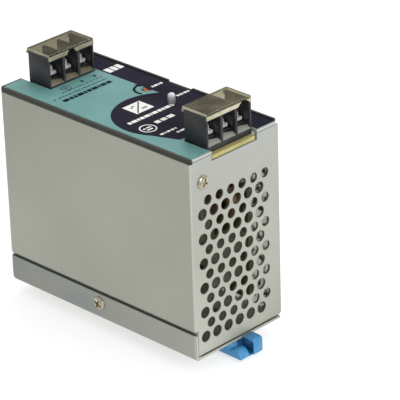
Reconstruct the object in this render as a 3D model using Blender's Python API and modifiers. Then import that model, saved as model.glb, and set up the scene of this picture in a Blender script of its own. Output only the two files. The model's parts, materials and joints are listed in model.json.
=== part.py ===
"""DIN rail power supply: a metal cased AC/DC supply that clips on a 35 mm rail.

Frame: X runs along the rail, Y is vertical when mounted (the latch end is -Y), +Z points out of the
rail to the label face. The origin is on the rail's centre line, in the plane of the rail's front lips,
so the back face of the case lies at z = 0.
"""

import math

import bmesh
import bpy
from mathutils import Matrix, Vector

MM = 0.001

# Case
HALF_WIDTH = 24.5 * MM
LOW_Y = -52.0 * MM
HIGH_Y = 54.8 * MM
TOP_Z = 86.5 * MM
SHEET = 1.0 * MM
BEND = 0.8 * MM
FRONT_BEND = 1.5 * MM
FAR_CORNER = 2.0 * MM
GAP = 0.3 * MM
PAD = 0.15 * MM
FLOOR_LOW_Y = LOW_Y - 0.6 * MM
FLOOR_HIGH_Y = HIGH_Y - 1.3 * MM
FLANGE_TOP = 11.1 * MM
SEAM = 1.6 * MM
WRAP_Z = FLANGE_TOP + SEAM
FOOT_Z = 1.5 * MM
JOGGLE_X = HALF_WIDTH - SHEET - GAP
FRONT_TOP = TOP_Z - 0.2 * MM
FRONT_Z = FRONT_TOP - SHEET
END_TOP = FRONT_Z - 0.25 * MM
LIP_TOP = TOP_Z + 0.5 * MM
LIP_GAP = (-6.2 * MM, 7.0 * MM)

# Case screws and rivets
SCREW_HOLE = 1.9 * MM
FLANGE_SCREW = (1.9 * MM, 6.7 * MM)
SIDE_SCREW = (1.0 * MM, 79.5 * MM)
END_SCREW_X = -17.8 * MM
END_SCREW_Z = 75.3 * MM
HOOK_RIVET = (8.0 * MM, 33.0 * MM)
GUIDE_RIVET = (9.4 * MM, -31.0 * MM)
RIVET = 1.2 * MM

# Vent pattern of each end
VENT_COLUMNS = 6
VENT_ROWS = 12
VENT_PITCH = 6.35 * MM
VENT_ROW_PITCH = 5.3 * MM
VENT_FIRST_X = -18.5 * MM
VENT_FIRST_Z = 67.0 * MM
SMALL_VENT = 2.1 * MM
LARGE_VENT = 2.4 * MM
VENT_SIDES = 8

# Terminal blocks
POLES = 3
POLE_PITCH = 8.1 * MM
BLOCK_HALF_WIDTH = 12.2 * MM
BLOCK_DEPTH = 12.2 * MM
BLOCK_TOP = 99.2 * MM
BLOCK_FLOOR = 88.6 * MM
REAR_WINDOW_Z = 94.0 * MM
DIVIDER = 1.0 * MM
OUTPUT_FRONT_Y = -49.6 * MM
INPUT_FRONT_Y = 37.7 * MM
NOTCH_HALF_WIDTH = 12.6 * MM
COVER_TOP = 100.6 * MM
COVER_WALL = 1.0 * MM
LIP_DROP = 2.6 * MM
LIP = (-0.3 * MM, 0.35 * MM)
LEDGE = (2.6 * MM, 3.9 * MM)
PIVOT_BEHIND = 0.7 * MM
PIVOT_Z = 98.9 * MM
PIN = 0.3 * MM
EAR = 0.6 * MM
LUG_X = (10.6 * MM, 11.4 * MM)
EAR_X = (11.65 * MM, 12.2 * MM)

# Terminal screws and clamps
SCREW_HEAD = 2.9 * MM
SCREW_HEAD_HEIGHT = 2.0 * MM
SCREW_SHANK = 1.5 * MM
CLAMP_HALF = 3.1 * MM
CLAMP_THICK = 1.3 * MM
CLAMP_REST = BLOCK_FLOOR + 1.0 * MM
SCREW_BACK = 7.1 * MM

# Boards
BOARD = 1.6 * MM
TERMINAL_BOARD_TOP = 84.2 * MM
MAIN_BOARD_X = 19.0 * MM
COMPONENT_X = MAIN_BOARD_X - BOARD - GAP
BOARD_END_Y = (-41.5 * MM, 49.0 * MM)
BOARD_Z = (7.0 * MM, 80.0 * MM)

# Label face controls
TRIMMER = (12.4 * MM, 8.0 * MM)
TRIMMER_RADIUS = 4.0 * MM
TRIMMER_HEIGHT = 5.6 * MM
TRIMMER_SHAFT = 1.35 * MM
LED = (9.4 * MM, -9.1 * MM)
CONTROL_HOLE = 2.2 * MM

# Rail latch
LATCH_HALF_WIDTH = 6.0 * MM
LATCH_TOP = -0.5 * MM
LATCH_BOTTOM = -5.1 * MM
LATCH_END_Y = -58.3 * MM
LATCH_TOOTH_Y = -15.4 * MM
STRAP = 0.8 * MM
RAIL_HALF = 17.5 * MM
SPRING_STOP_Y = -42.8 * MM
SPRING_END_Y = -28.2 * MM
SPRING_RADIUS = 1.6 * MM
SPRING_WIRE = 0.25 * MM

# name: colour, roughness, metallic
FINISHES = {
    "case_metal": ((0.60, 0.61, 0.58), 0.38, 0.9),
    "zinc_steel": ((0.62, 0.60, 0.50), 0.32, 1.0),
    "label_teal": ((0.16, 0.36, 0.34), 0.45, 0.0),
    "block_black": ((0.035, 0.035, 0.042), 0.4, 0.0),
    "clear_cover": ((0.42, 0.39, 0.27), 0.15, 0.0),
    "latch_blue": ((0.05, 0.26, 0.56), 0.35, 0.0),
    "board_yellow": ((0.55, 0.47, 0.16), 0.55, 0.0),
    "board_green": ((0.04, 0.16, 0.07), 0.45, 0.0),
    "ferrite": ((0.06, 0.06, 0.06), 0.6, 0.0),
    "winding_tape": ((0.62, 0.46, 0.08), 0.4, 0.0),
    "copper": ((0.62, 0.30, 0.14), 0.3, 1.0),
    "capacitor_sleeve": ((0.02, 0.03, 0.09), 0.35, 0.0),
    "heat_sink": ((0.68, 0.69, 0.70), 0.4, 1.0),
    "device_black": ((0.03, 0.03, 0.03), 0.5, 0.0),
    "filter_box": ((0.60, 0.50, 0.12), 0.4, 0.0),
    "ceramic_blue": ((0.08, 0.22, 0.48), 0.45, 0.0),
    "thermistor": ((0.05, 0.12, 0.06), 0.5, 0.0),
    "fuse_glass": ((0.70, 0.72, 0.70), 0.1, 0.0),
    "trimmer_blue": ((0.05, 0.13, 0.35), 0.4, 0.0),
    "trimmer_brass": ((0.62, 0.45, 0.20), 0.35, 1.0),
    "led_clear": ((0.80, 0.80, 0.78), 0.15, 0.0),
    "insulation": ((0.55, 0.53, 0.42), 0.5, 0.0),
    "nylon": ((0.80, 0.79, 0.74), 0.5, 0.0),
}


def clear_scene():
    for obj in list(bpy.data.objects):
        bpy.data.objects.remove(obj, do_unlink=True)


def make_collection(name):
    collection = bpy.data.collections.new(name)
    bpy.context.scene.collection.children.link(collection)
    return collection


def make_material(name):
    colour, roughness, metallic = FINISHES[name]
    material = bpy.data.materials.new(name)
    material.use_nodes = True
    shader = material.node_tree.nodes["Principled BSDF"]
    shader.inputs["Base Color"].default_value = (*colour, 1.0)
    shader.inputs["Roughness"].default_value = roughness
    shader.inputs["Metallic"].default_value = metallic
    return material


clear_scene()
PARTS = make_collection("din_rail_power_supply")
TOOLS = make_collection("construction")
MATERIALS = {name: make_material(name) for name in FINISHES}


def add_box(bm, low, high):
    """A box between two corners, added to a bmesh."""
    low, high = Vector(low), Vector(high)
    size = high - low
    place = Matrix.Translation((low + high) / 2) @ Matrix.Diagonal((*size, 1.0))
    bmesh.ops.create_cube(bm, size=1.0, matrix=place)


def add_rod(bm, start, end, radius, sides=16, end_radius=None):
    """A cylinder or cone frustum between two points, added to a bmesh."""
    start, end = Vector(start), Vector(end)
    along = end - start
    turn = Vector((0, 0, 1)).rotation_difference(along).to_matrix().to_4x4()
    place = Matrix.Translation((start + end) / 2) @ turn
    bmesh.ops.create_cone(
        bm,
        cap_ends=True,
        segments=sides,
        radius1=radius,
        radius2=radius if end_radius is None else end_radius,
        depth=along.length,
        matrix=place,
    )


def add_prism(bm, outline, axis, low, high):
    """An outline extruded along X, Y or Z; the outline's points hold the other two coordinates in order."""

    def corner(point, along):
        values = list(point)
        values.insert("XYZ".index(axis), along)
        return bm.verts.new(values)

    face = bm.faces.new([corner(point, low) for point in outline])
    moved = bmesh.ops.extrude_face_region(bm, geom=[face])
    step = Vector([high - low if name == axis else 0.0 for name in "XYZ"])
    fresh = [item for item in moved["geom"] if isinstance(item, bmesh.types.BMVert)]
    bmesh.ops.translate(bm, verts=fresh, vec=step)


def make_object(name, bm, collection):
    bmesh.ops.recalc_face_normals(bm, faces=bm.faces)
    mesh = bpy.data.meshes.new(name)
    bm.to_mesh(mesh)
    bm.free()
    obj = bpy.data.objects.new(name, mesh)
    collection.objects.link(obj)
    return obj


def part(name, material, build):
    """A named piece of the power supply, from a function that fills a bmesh."""
    bm = bmesh.new()
    build(bm)
    obj = make_object(name, bm, PARTS)
    obj.data.materials.append(MATERIALS[material])
    return obj


def shape(obj, operation, build, label="tool"):
    """Cuts from, or joins to, a piece what a function fills a bmesh with."""
    bm = bmesh.new()
    build(bm)
    tool = make_object(f"{obj.name}_{label}", bm, TOOLS)
    tool.hide_render = True
    tool.display_type = "WIRE"
    change = obj.modifiers.new(label, "BOOLEAN")
    change.operation = operation
    change.object = tool
    change.solver = "EXACT"
    change.use_self = True


def cut(obj, build, label="cut"):
    shape(obj, "DIFFERENCE", build, label)


def join(obj, build, label="join"):
    shape(obj, "UNION", build, label)


def set_origin(obj, point):
    """Moves a piece's origin to a point, such as one on its joint's axis, and leaves its shape in place."""
    obj.data.transform(Matrix.Translation(-Vector(point)))
    obj.location = point


def box_part(name, material, low, high):
    return part(name, material, lambda bm: add_box(bm, low, high))


def arc(centre, radius, start, end, steps):
    """Points on an arc of a circle in a plane, between two angles in degrees."""
    turns = [math.radians(start + (end - start) * step / steps) for step in range(steps + 1)]
    return [(centre[0] + radius * math.cos(t), centre[1] + radius * math.sin(t)) for t in turns]


def rounded(corners, radius, steps=3):
    """An open path with right-angled corners, each rounded to a radius."""
    path = [Vector(corners[0])]
    for before, corner, after in zip(corners, corners[1:], corners[2:]):
        corner = Vector(corner)
        back = (Vector(before) - corner).normalized()
        ahead = (Vector(after) - corner).normalized()
        centre = corner + (back + ahead) * radius
        for step in range(steps + 1):
            turn = math.pi / 2 * step / steps
            path.append(centre - ahead * radius * math.cos(turn) - back * radius * math.sin(turn))
    path.append(Vector(corners[-1]))
    return path


def offset_path(path, distance):
    """An open path moved to its left by a distance, mitred at its corners."""
    points = [Vector(point) for point in path]
    normals = []
    for first, second in zip(points, points[1:]):
        along = (second - first).normalized()
        normals.append(Vector((-along.y, along.x)))
    moved = []
    for k, point in enumerate(points):
        before = normals[max(k - 1, 0)]
        after = normals[min(k, len(normals) - 1)]
        mitre = (before + after).normalized()
        moved.append(point + mitre * distance / mitre.dot(after))
    return moved


def sheet_outline(corners, radius, steps=3):
    """Section of a bent sheet: rounded outside through the corners, sharp inside, thickness on their left."""
    return [*rounded(corners, radius, steps), *reversed(offset_path(corners, SHEET))]


def bent_sheet(name, corners, axis, low, high):
    """A sheet of the case bent at the corners of a path, swept along X, Y or Z."""
    outline = sheet_outline(corners, BEND)
    return part(name, "case_metal", lambda bm: add_prism(bm, outline, axis, low, high))


def drill(bm, point, axis, radius=SCREW_HOLE, reach=8 * MM):
    """A round hole through a point, along X, Y or Z."""
    along = Vector([reach if name == axis else 0.0 for name in "XYZ"])
    add_rod(bm, Vector(point) - along, Vector(point) + along, radius, 12)


# ---------------------------------------------------------------- case


def make_chassis():
    """Floor, left flange and right side of the case, one sheet, with a pad that rests on the rail."""
    edge = HALF_WIDTH
    corners = [(-edge, FLANGE_TOP), (-edge, PAD), (edge, PAD), (edge, LIP_TOP)]
    chassis = bent_sheet("chassis", corners, "Y", FLOOR_LOW_Y, FLOOR_HIGH_Y)
    join(
        chassis,
        lambda bm: add_box(bm, (-20 * MM, -15 * MM, 0), (20 * MM, 15 * MM, PAD + SHEET / 2)),
        "rail_pad",
    )
    beyond = 5 * MM
    end = SHEET + GAP

    def openings(bm):
        for low, high in ((FLOOR_LOW_Y - beyond, LOW_Y + end), (HIGH_Y - end, HIGH_Y + beyond)):
            add_box(bm, (JOGGLE_X, low, -beyond), (edge + beyond, high, LIP_TOP + beyond))
        add_box(
            bm,
            (JOGGLE_X, LIP_GAP[0], TOP_Z - 0.3 * MM),
            (edge + beyond, LIP_GAP[1], LIP_TOP + beyond),
        )
        drill(bm, (-edge, *FLANGE_SCREW), "X")
        drill(bm, (edge, *SIDE_SCREW), "X")
        for side in (-1, 1):
            for x, y in (HOOK_RIVET, GUIDE_RIVET):
                drill(bm, (side * x, y, 0), "Z", RIVET + 0.1 * MM)
        radius = 2 * MM
        corner = (FLOOR_HIGH_Y - radius, PAD + radius)
        outside = [(FLOOR_HIGH_Y + MM, PAD + radius), (FLOOR_HIGH_Y + MM, -MM), (FLOOR_HIGH_Y - radius, -MM)]
        add_prism(bm, [*outside, *arc(corner, radius, 270, 360, 5)], "X", -edge - MM, MM - edge)

    cut(chassis, openings, "openings")
    return chassis


def add_vents(bm, y):
    """A staggered grid of vent holes: small ones in even rows, large ones, half a pitch over, in odd rows."""
    for row in range(VENT_ROWS):
        small = row % 2 == 0
        radius = SMALL_VENT if small else LARGE_VENT
        shift = 0.5 if small else 0.0
        z = VENT_FIRST_Z - row * VENT_ROW_PITCH
        for column in range(VENT_COLUMNS):
            x = VENT_FIRST_X + (column + shift) * VENT_PITCH
            add_rod(bm, (x, y - 2 * SHEET, z), (x, y + 2 * SHEET, z), radius, VENT_SIDES)


def wrap_foot(bm):
    """Where the wrap goes down inside the chassis: its ends to the floor, its left side behind the flange."""
    edge = HALF_WIDTH
    start = JOGGLE_X - SHEET / 2
    corner = arc((edge - 1.3 * MM, FOOT_Z + 1.3 * MM), 1.3 * MM, 270, 360, 3)
    outline = [(-start, WRAP_Z + SHEET), (-start, FOOT_Z), *corner, (edge, WRAP_Z + SHEET)]
    add_prism(bm, outline, "Y", LOW_Y, LOW_Y + SHEET)
    add_prism(bm, outline, "Y", HIGH_Y - SHEET, HIGH_Y)
    low, high = LOW_Y + SHEET / 2, HIGH_Y - SHEET / 2
    add_box(bm, (-JOGGLE_X, low, FOOT_Z), (SHEET - JOGGLE_X, high, WRAP_Z + 1.5 * SHEET))
    step_z = WRAP_Z + 0.1 * MM
    add_box(bm, (SHEET / 2 - edge, low, step_z), (SHEET / 2 - JOGGLE_X, high, step_z + SHEET))


def wrap_front(bm):
    """The front, bent over from the left side, with a tab behind each end and one behind the right side."""
    edge = HALF_WIDTH
    centre = (FRONT_BEND - edge, FRONT_TOP - FRONT_BEND)
    over_ends = [
        (JOGGLE_X, FRONT_Z),
        (JOGGLE_X, FRONT_TOP),
        *arc(centre, FRONT_BEND, 90, 157.5, 3),
        (SHEET / 2 - edge, FRONT_Z),
    ]
    add_prism(bm, over_ends, "Y", LOW_Y, HIGH_Y)
    corners = [(0, FRONT_TOP), (-edge, FRONT_TOP), (-edge, FRONT_Z - 2 * SHEET)]
    bend = sheet_outline(corners, FRONT_BEND, 4)
    add_prism(bm, bend, "Y", LOW_Y + BEND + 0.1 * MM, HIGH_Y - BEND - 0.1 * MM)
    root = FRONT_Z + SHEET / 2
    for inside, way in ((LOW_Y + SHEET + GAP, 1), (HIGH_Y - SHEET - GAP, -1)):
        low, high = sorted((inside, inside + way * SHEET))
        foot = END_SCREW_Z - 3.4 * MM
        add_box(bm, (END_SCREW_X - 3.2 * MM, low, foot), (END_SCREW_X + 3.2 * MM, high, root))
    y, z = SIDE_SCREW
    add_box(bm, (JOGGLE_X - SHEET, y - 5 * MM, z - 3.4 * MM), (JOGGLE_X, y + 5 * MM, root))


def wrap_openings(bm):
    """A notch for each terminal block, and the holes for the screws and the two controls."""
    above = TOP_Z + 5 * MM
    below = TERMINAL_BOARD_TOP - BOARD - GAP
    rear = OUTPUT_FRONT_Y + BLOCK_DEPTH + 0.6 * MM
    side = NOTCH_HALF_WIDTH
    add_box(bm, (-side, LOW_Y - SHEET, below), (side, rear, above))
    add_box(bm, (-side, INPUT_FRONT_Y - 0.5 * MM, below), (side, HIGH_Y + SHEET, above))
    for x, y in (TRIMMER, LED):
        drill(bm, (x, y, FRONT_TOP), "Z", CONTROL_HOLE)
    for y in (LOW_Y, HIGH_Y):
        drill(bm, (END_SCREW_X, y, END_SCREW_Z), "Y")
    drill(bm, (-HALF_WIDTH, *FLANGE_SCREW), "X")
    drill(bm, (JOGGLE_X, *SIDE_SCREW), "X")


def far_corner(bm):
    """What is outside the rounded far left corner, seen from the front."""
    edge = HALF_WIDTH
    rounding = arc((FAR_CORNER - edge, HIGH_Y - FAR_CORNER), FAR_CORNER, 90, 180, 6)
    outside = [(-edge - MM, HIGH_Y - FAR_CORNER), (-edge - MM, HIGH_Y + MM), (FAR_CORNER - edge, HIGH_Y + MM)]
    add_prism(bm, [*rounding, *outside], "Z", WRAP_Z - GAP, TOP_Z + MM)


def make_case_wrap():
    """Left side, both perforated ends and the front, one sheet; the ends stop just short of the front."""
    edge = HALF_WIDTH
    plan = [(edge, HIGH_Y), (-edge, HIGH_Y), (-edge, LOW_Y), (edge, LOW_Y)]
    wrap = bent_sheet("case_wrap", plan, "Z", WRAP_Z, END_TOP)
    join(wrap, wrap_foot, "foot")
    join(wrap, wrap_front, "front")
    cut(wrap, far_corner, "far_corner")
    cut(wrap, wrap_openings, "openings")
    cut(wrap, lambda bm: add_vents(bm, LOW_Y), "low_vents")
    cut(wrap, lambda bm: add_vents(bm, HIGH_Y), "high_vents")
    return wrap


def make_front_label():
    """Printed film on the front, cut out round the blocks, the trimmer and the LED."""
    margin = 0.6 * MM
    low, high = FRONT_TOP + 0.05 * MM, TOP_Z
    left, right = FRONT_BEND - HALF_WIDTH + 0.1 * MM, JOGGLE_X - 0.1 * MM
    near, far = LOW_Y + margin, HIGH_Y - 2 * margin
    corner = arc((left + FAR_CORNER, far - FAR_CORNER), FAR_CORNER, 90, 180, 6)
    outline = [*corner, (left, near), (right, near), (right, far)]
    label = part("front_label", "label_teal", lambda bm: add_prism(bm, outline, "Z", low, high))

    def openings(bm):
        side = NOTCH_HALF_WIDTH + margin / 2
        rear = OUTPUT_FRONT_Y + BLOCK_DEPTH + 0.6 * MM + margin
        front = INPUT_FRONT_Y - 0.5 * MM - margin / 2
        below, above = low - SHEET, high + SHEET
        add_box(bm, (-side, LOW_Y - SHEET, below), (side, rear, above))
        add_box(bm, (-side, front, below), (side, HIGH_Y + SHEET, above))
        for x, y in (TRIMMER, LED):
            drill(bm, (x, y, high), "Z", CONTROL_HOLE + 0.1 * MM)

    cut(label, openings, "openings")
    return label


def make_machine_screw(name, seat, outward, head=2.9, length=6.0):
    """A pan head screw; seat is the surface under its head, outward points out of the case. Sizes in mm."""
    seat, outward = Vector(seat), Vector(outward)
    seat = seat + outward * 0.05 * MM

    def build(bm):
        add_rod(bm, seat, seat + outward * 1.1 * MM, head * MM, 16, (head - 0.7) * MM)

    screw = part(name, "zinc_steel", build)
    join(
        screw,
        lambda bm: add_rod(bm, seat - outward * length * MM, seat + outward * 0.4 * MM, 1.5 * MM, 10),
        "shank",
    )

    cut_cross(screw, seat, outward)
    return screw


def cut_cross(screw, seat, outward):
    """The cross recess, as two crossed slots that are cut one after the other."""
    side = outward.orthogonal().normalized()
    for label, across in (("slot_a", side), ("slot_b", outward.cross(side).normalized())):
        other = outward.cross(across).normalized()
        half = across * 1.6 * MM + other * 0.38 * MM
        first = seat + outward * 0.45 * MM - half
        last = seat + outward * 2.0 * MM + half
        low = [min(a, b) for a, b in zip(first, last)]
        high = [max(a, b) for a, b in zip(first, last)]
        cut(screw, lambda bm, low=low, high=high: add_box(bm, low, high), label)


def make_case_screws():
    make_machine_screw("lower_end_screw", (END_SCREW_X, LOW_Y, END_SCREW_Z), (0, -1, 0))
    make_machine_screw("upper_end_screw", (END_SCREW_X, HIGH_Y, END_SCREW_Z), (0, 1, 0))
    make_machine_screw("left_flange_screw", (-HALF_WIDTH, *FLANGE_SCREW), (-1, 0, 0), length=3.2)
    make_machine_screw("right_side_screw", (HALF_WIDTH, *SIDE_SCREW), (1, 0, 0), length=3.2)


def make_rivet(name, x, y, seat):
    """A rivet up through the chassis floor; seat is the height of the surface over its domed head."""
    seat = seat - 0.05 * MM
    rivet = part(
        name,
        "zinc_steel",
        lambda bm: add_rod(bm, (x, y, seat), (x, y, seat - 0.7 * MM), 2.2 * MM, 16, 1.3 * MM),
    )
    tip = PAD + SHEET + 0.5 * MM
    join(rivet, lambda bm: add_rod(bm, (x, y, seat - 0.3 * MM), (x, y, tip), RIVET, 10), "shank")
    return rivet


def make_rivets():
    for k, side in enumerate((-1, 1), start=1):
        make_rivet(f"hook_rivet_{k}", side * HOOK_RIVET[0], HOOK_RIVET[1], -GAP - 1.2 * MM)
        make_rivet(f"guide_rivet_{k}", side * GUIDE_RIVET[0], GUIDE_RIVET[1], -GAP - STRAP)


# ---------------------------------------------------------------- rail clip


def make_rail_hook():
    """Fixed hook that grips the rail's upper flange from behind."""
    thick = 1.2 * MM
    step_y = RAIL_HALF + 0.7 * MM
    outline = [
        (40 * MM, -GAP),
        (step_y, -GAP),
        (step_y, -1.4 * MM),
        (RAIL_HALF - 2.3 * MM, -1.4 * MM),
        (RAIL_HALF - 2.0 * MM, -1.4 * MM - thick),
        (step_y + thick, -1.4 * MM - thick),
        (step_y + thick, -GAP - thick),
        (40 * MM, -GAP - thick),
    ]
    hook = part("rail_hook", "zinc_steel", lambda bm: add_prism(bm, outline, "X", -12 * MM, 12 * MM))

    def holes(bm):
        for side in (-1, 1):
            drill(bm, (side * HOOK_RIVET[0], HOOK_RIVET[1], -MM), "Z", RIVET + 0.1 * MM)

    cut(hook, holes, "rivet_holes")


def make_latch_guide():
    """Strap that holds the latch against the floor and lets it slide, with a stop for the latch's spring."""
    inner = LATCH_HALF_WIDTH + GAP
    outer = inner + STRAP
    wide = 12 * MM
    floor = LATCH_BOTTOM - GAP
    root = -GAP
    outline = [
        (wide, root),
        (inner, root),
        (inner, floor),
        (-inner, floor),
        (-inner, root),
        (-wide, root),
        (-wide, root - STRAP),
        (-outer, root - STRAP),
        (-outer, floor - STRAP),
        (outer, floor - STRAP),
        (outer, root - STRAP),
        (wide, root - STRAP),
    ]
    low_y = -38 * MM
    guide = part("latch_guide", "zinc_steel", lambda bm: add_prism(bm, outline, "Y", low_y, -24 * MM))

    def spring_stop(bm):
        stop = [
            (low_y + MM, floor - STRAP + 0.01 * MM),
            (low_y + MM, floor - 0.01 * MM),
            (SPRING_STOP_Y, floor - 0.01 * MM),
            (SPRING_STOP_Y, -0.9 * MM),
            (SPRING_STOP_Y - MM, -0.9 * MM),
            (SPRING_STOP_Y - MM, floor - STRAP + 0.01 * MM),
        ]
        add_prism(bm, stop, "X", -1.6 * MM, 1.6 * MM)

    join(guide, spring_stop, "spring_stop")

    def holes(bm):
        for side in (-1, 1):
            drill(bm, (side * GUIDE_RIVET[0], GUIDE_RIVET[1], -MM), "Z", RIVET + 0.1 * MM)

    cut(guide, holes, "rivet_holes")
    return guide


def make_rail_latch():
    """Blue slider: tooth, body with a window for the spring, and two lobes round a screwdriver slot."""
    profile = [
        (LATCH_END_Y, LATCH_BOTTOM),
        (-17.0 * MM, LATCH_BOTTOM),
        (LATCH_TOOTH_Y, -3.4 * MM),
        (LATCH_TOOTH_Y, -1.4 * MM),
        (-RAIL_HALF - 0.4 * MM, -1.4 * MM),
        (-RAIL_HALF - 0.4 * MM, LATCH_TOP),
        (-51.6 * MM, LATCH_TOP),
        (-52.4 * MM, -3.4 * MM),
        (LATCH_END_Y, -3.8 * MM),
    ]
    latch = part(
        "rail_latch",
        "latch_blue",
        lambda bm: add_prism(bm, profile, "X", -LATCH_HALF_WIDTH, LATCH_HALF_WIDTH),
    )
    radius = 3.3 * MM
    lobe = arc((LATCH_END_Y + radius, LATCH_BOTTOM + 0.1 * MM), radius, 0, 180, 10)
    join(
        latch,
        lambda bm: add_prism(bm, lobe, "X", -LATCH_HALF_WIDTH + 0.01 * MM, -0.8 * MM),
        "round_lobe",
    )
    crown = arc((LATCH_END_Y + 2.0 * MM, -1.3 * MM), 2.6 * MM, 90, 180, 5)
    foot = LATCH_BOTTOM + 0.01 * MM
    tall = [(LATCH_END_Y - 0.6 * MM, foot), (-53.2 * MM, foot), (-53.2 * MM, 1.3 * MM), *crown]
    join(
        latch,
        lambda bm: add_prism(bm, tall, "X", 0.9 * MM, LATCH_HALF_WIDTH - 0.01 * MM),
        "tall_lobe",
    )
    cut(
        latch,
        lambda bm: add_box(
            bm,
            (-2.4 * MM, SPRING_STOP_Y - 1.8 * MM, -8 * MM),
            (2.4 * MM, SPRING_END_Y + 0.2 * MM, 2 * MM),
        ),
        "window",
    )
    set_origin(latch, (0, -30 * MM, -2.8 * MM))
    return latch


def make_latch_spring():
    """Compression spring between the guide's stop and the far wall of the latch's window."""
    turns, per_turn = 9, 10
    length = SPRING_END_Y - SPRING_STOP_Y - 2 * SPRING_WIRE - 0.2 * MM
    start = SPRING_STOP_Y + SPRING_WIRE + 0.1 * MM
    curve = bpy.data.curves.new("latch_spring", "CURVE")
    curve.dimensions = "3D"
    curve.bevel_depth = SPRING_WIRE
    curve.bevel_resolution = 0
    curve.use_fill_caps = True
    spline = curve.splines.new("POLY")
    spline.points.add(turns * per_turn)
    for k, point in enumerate(spline.points):
        turn = 2 * math.pi * k / per_turn
        y = start + length * k / (turns * per_turn)
        point.co = (SPRING_RADIUS * math.cos(turn), y, -2.8 * MM + SPRING_RADIUS * math.sin(turn), 1)
    obj = bpy.data.objects.new("latch_spring", curve)
    PARTS.objects.link(obj)
    curve.materials.append(MATERIALS["zinc_steel"])
    return obj


# ---------------------------------------------------------------- terminals


def pole_x(pole):
    return (pole - (POLES - 1) / 2) * POLE_PITCH


def make_block(name, front):
    """Barrier block: compartments open to the front and the top, and lugs behind for its flip cover."""
    rear = front + BLOCK_DEPTH
    base = TERMINAL_BOARD_TOP + GAP
    block = box_part(
        name, "block_black", (-BLOCK_HALF_WIDTH, front, base), (BLOCK_HALF_WIDTH, rear, BLOCK_TOP)
    )
    half = (POLE_PITCH - DIVIDER) / 2
    wall = rear - 1.2 * MM
    outline = [
        (front - MM, BLOCK_FLOOR - 2.4 * MM),
        (front + LEDGE[0], BLOCK_FLOOR - 0.1 * MM),
        (front + LEDGE[1], BLOCK_FLOOR - 0.1 * MM),
        (front + LEDGE[1], BLOCK_FLOOR),
        (wall, BLOCK_FLOOR),
        (wall, BLOCK_TOP + MM),
        (front - MM, BLOCK_TOP + MM),
    ]

    def compartments(bm):
        for pole in range(POLES):
            add_prism(bm, outline, "X", pole_x(pole) - half, pole_x(pole) + half)

    cut(block, compartments, "compartments")
    wide = BLOCK_HALF_WIDTH + MM
    rebate = COVER_TOP - LIP_DROP - GAP
    cut(
        block,
        lambda bm: add_box(bm, (-wide, front - MM, rebate), (wide, front + LIP[1] + GAP, BLOCK_TOP + MM)),
        "lip_rebate",
    )

    def bores(bm):
        for pole in range(POLES):
            x, y = pole_x(pole), front + SCREW_BACK
            add_rod(bm, (x, y, base + 0.8 * MM), (x, y, BLOCK_FLOOR + MM), SCREW_SHANK + 0.3 * MM, 12)

    cut(block, bores, "screw_bores")

    def windows(bm):
        """Openings in the top of the rear wall, clear of the lugs."""
        beside_lug = LUG_X[0] - GAP
        for pole in range(POLES):
            low = max(pole_x(pole) - half, -beside_lug)
            high = min(pole_x(pole) + half, beside_lug)
            add_box(bm, (low, wall - MM, REAR_WINDOW_Z), (high, rear + MM, BLOCK_TOP + MM))

    cut(block, windows, "rear_windows")
    pivot_y = rear + PIVOT_BEHIND

    def lugs(bm):
        for side in (-1, 1):
            inner, outer = sorted((side * LUG_X[0], side * LUG_X[1]))
            low, high = PIVOT_Z - 0.8 * MM, PIVOT_Z + 0.4 * MM
            add_box(bm, (inner, rear - 0.4 * MM, low), (outer, pivot_y + 0.45 * MM, high))

    join(block, lugs, "lugs")

    def pins(bm):
        for side in (-1, 1):
            start, end = side * (LUG_X[1] - 0.3 * MM), side * (EAR_X[1] - 0.1 * MM)
            add_rod(bm, (start, pivot_y, PIVOT_Z), (end, pivot_y, PIVOT_Z), PIN, 10)

    join(block, pins, "pivot_pins")
    return block


def make_flip_cover(name, front, notch_pole, notch_width, notch_height):
    """Clear cover over a block: top, front lip with an arched finger notch, and an ear round each pin."""
    pivot_y = front + BLOCK_DEPTH + PIVOT_BEHIND
    under = COVER_TOP - COVER_WALL
    side_x = BLOCK_HALF_WIDTH
    rear_edge = pivot_y + 0.05 * MM
    cover = box_part(name, "clear_cover", (-side_x, front + LIP[0], under), (side_x, rear_edge, COVER_TOP))

    def lip(bm):
        low, high = COVER_TOP - LIP_DROP, COVER_TOP - COVER_WALL / 2
        wide = side_x - 0.01 * MM
        add_box(bm, (-wide, front + LIP[0] + 0.01 * MM, low), (wide, front + LIP[1], high))

    join(cover, lip, "lip")

    def ears(bm):
        for side in (-1, 1):
            inner, outer = sorted((side * EAR_X[0], side * (EAR_X[1] - 0.01 * MM)))
            bow = arc((pivot_y, PIVOT_Z), EAR, 180, 360, 8)
            top = under + COVER_WALL / 2
            back = rear_edge - 0.01 * MM
            outline = [*bow, (back, PIVOT_Z + EAR), (back, top), (pivot_y - EAR, top)]
            add_prism(bm, outline, "X", inner, outer)

    join(cover, ears, "ears")

    def openings(bm):
        for side in (-1, 1):
            drill(bm, (side * EAR_X[1], pivot_y, PIVOT_Z), "X", PIN + 0.12 * MM, MM)
        half, x = notch_width / 2, pole_x(notch_pole)
        radius = (half**2 + notch_height**2) / (2 * notch_height)
        z = COVER_TOP - LIP_DROP + notch_height - radius
        add_rod(bm, (x, front - 2 * MM, z), (x, front - 0.1 * MM, z), radius, 24)

    cut(cover, openings, "openings")
    set_origin(cover, (0, pivot_y, PIVOT_Z))
    return cover


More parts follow.
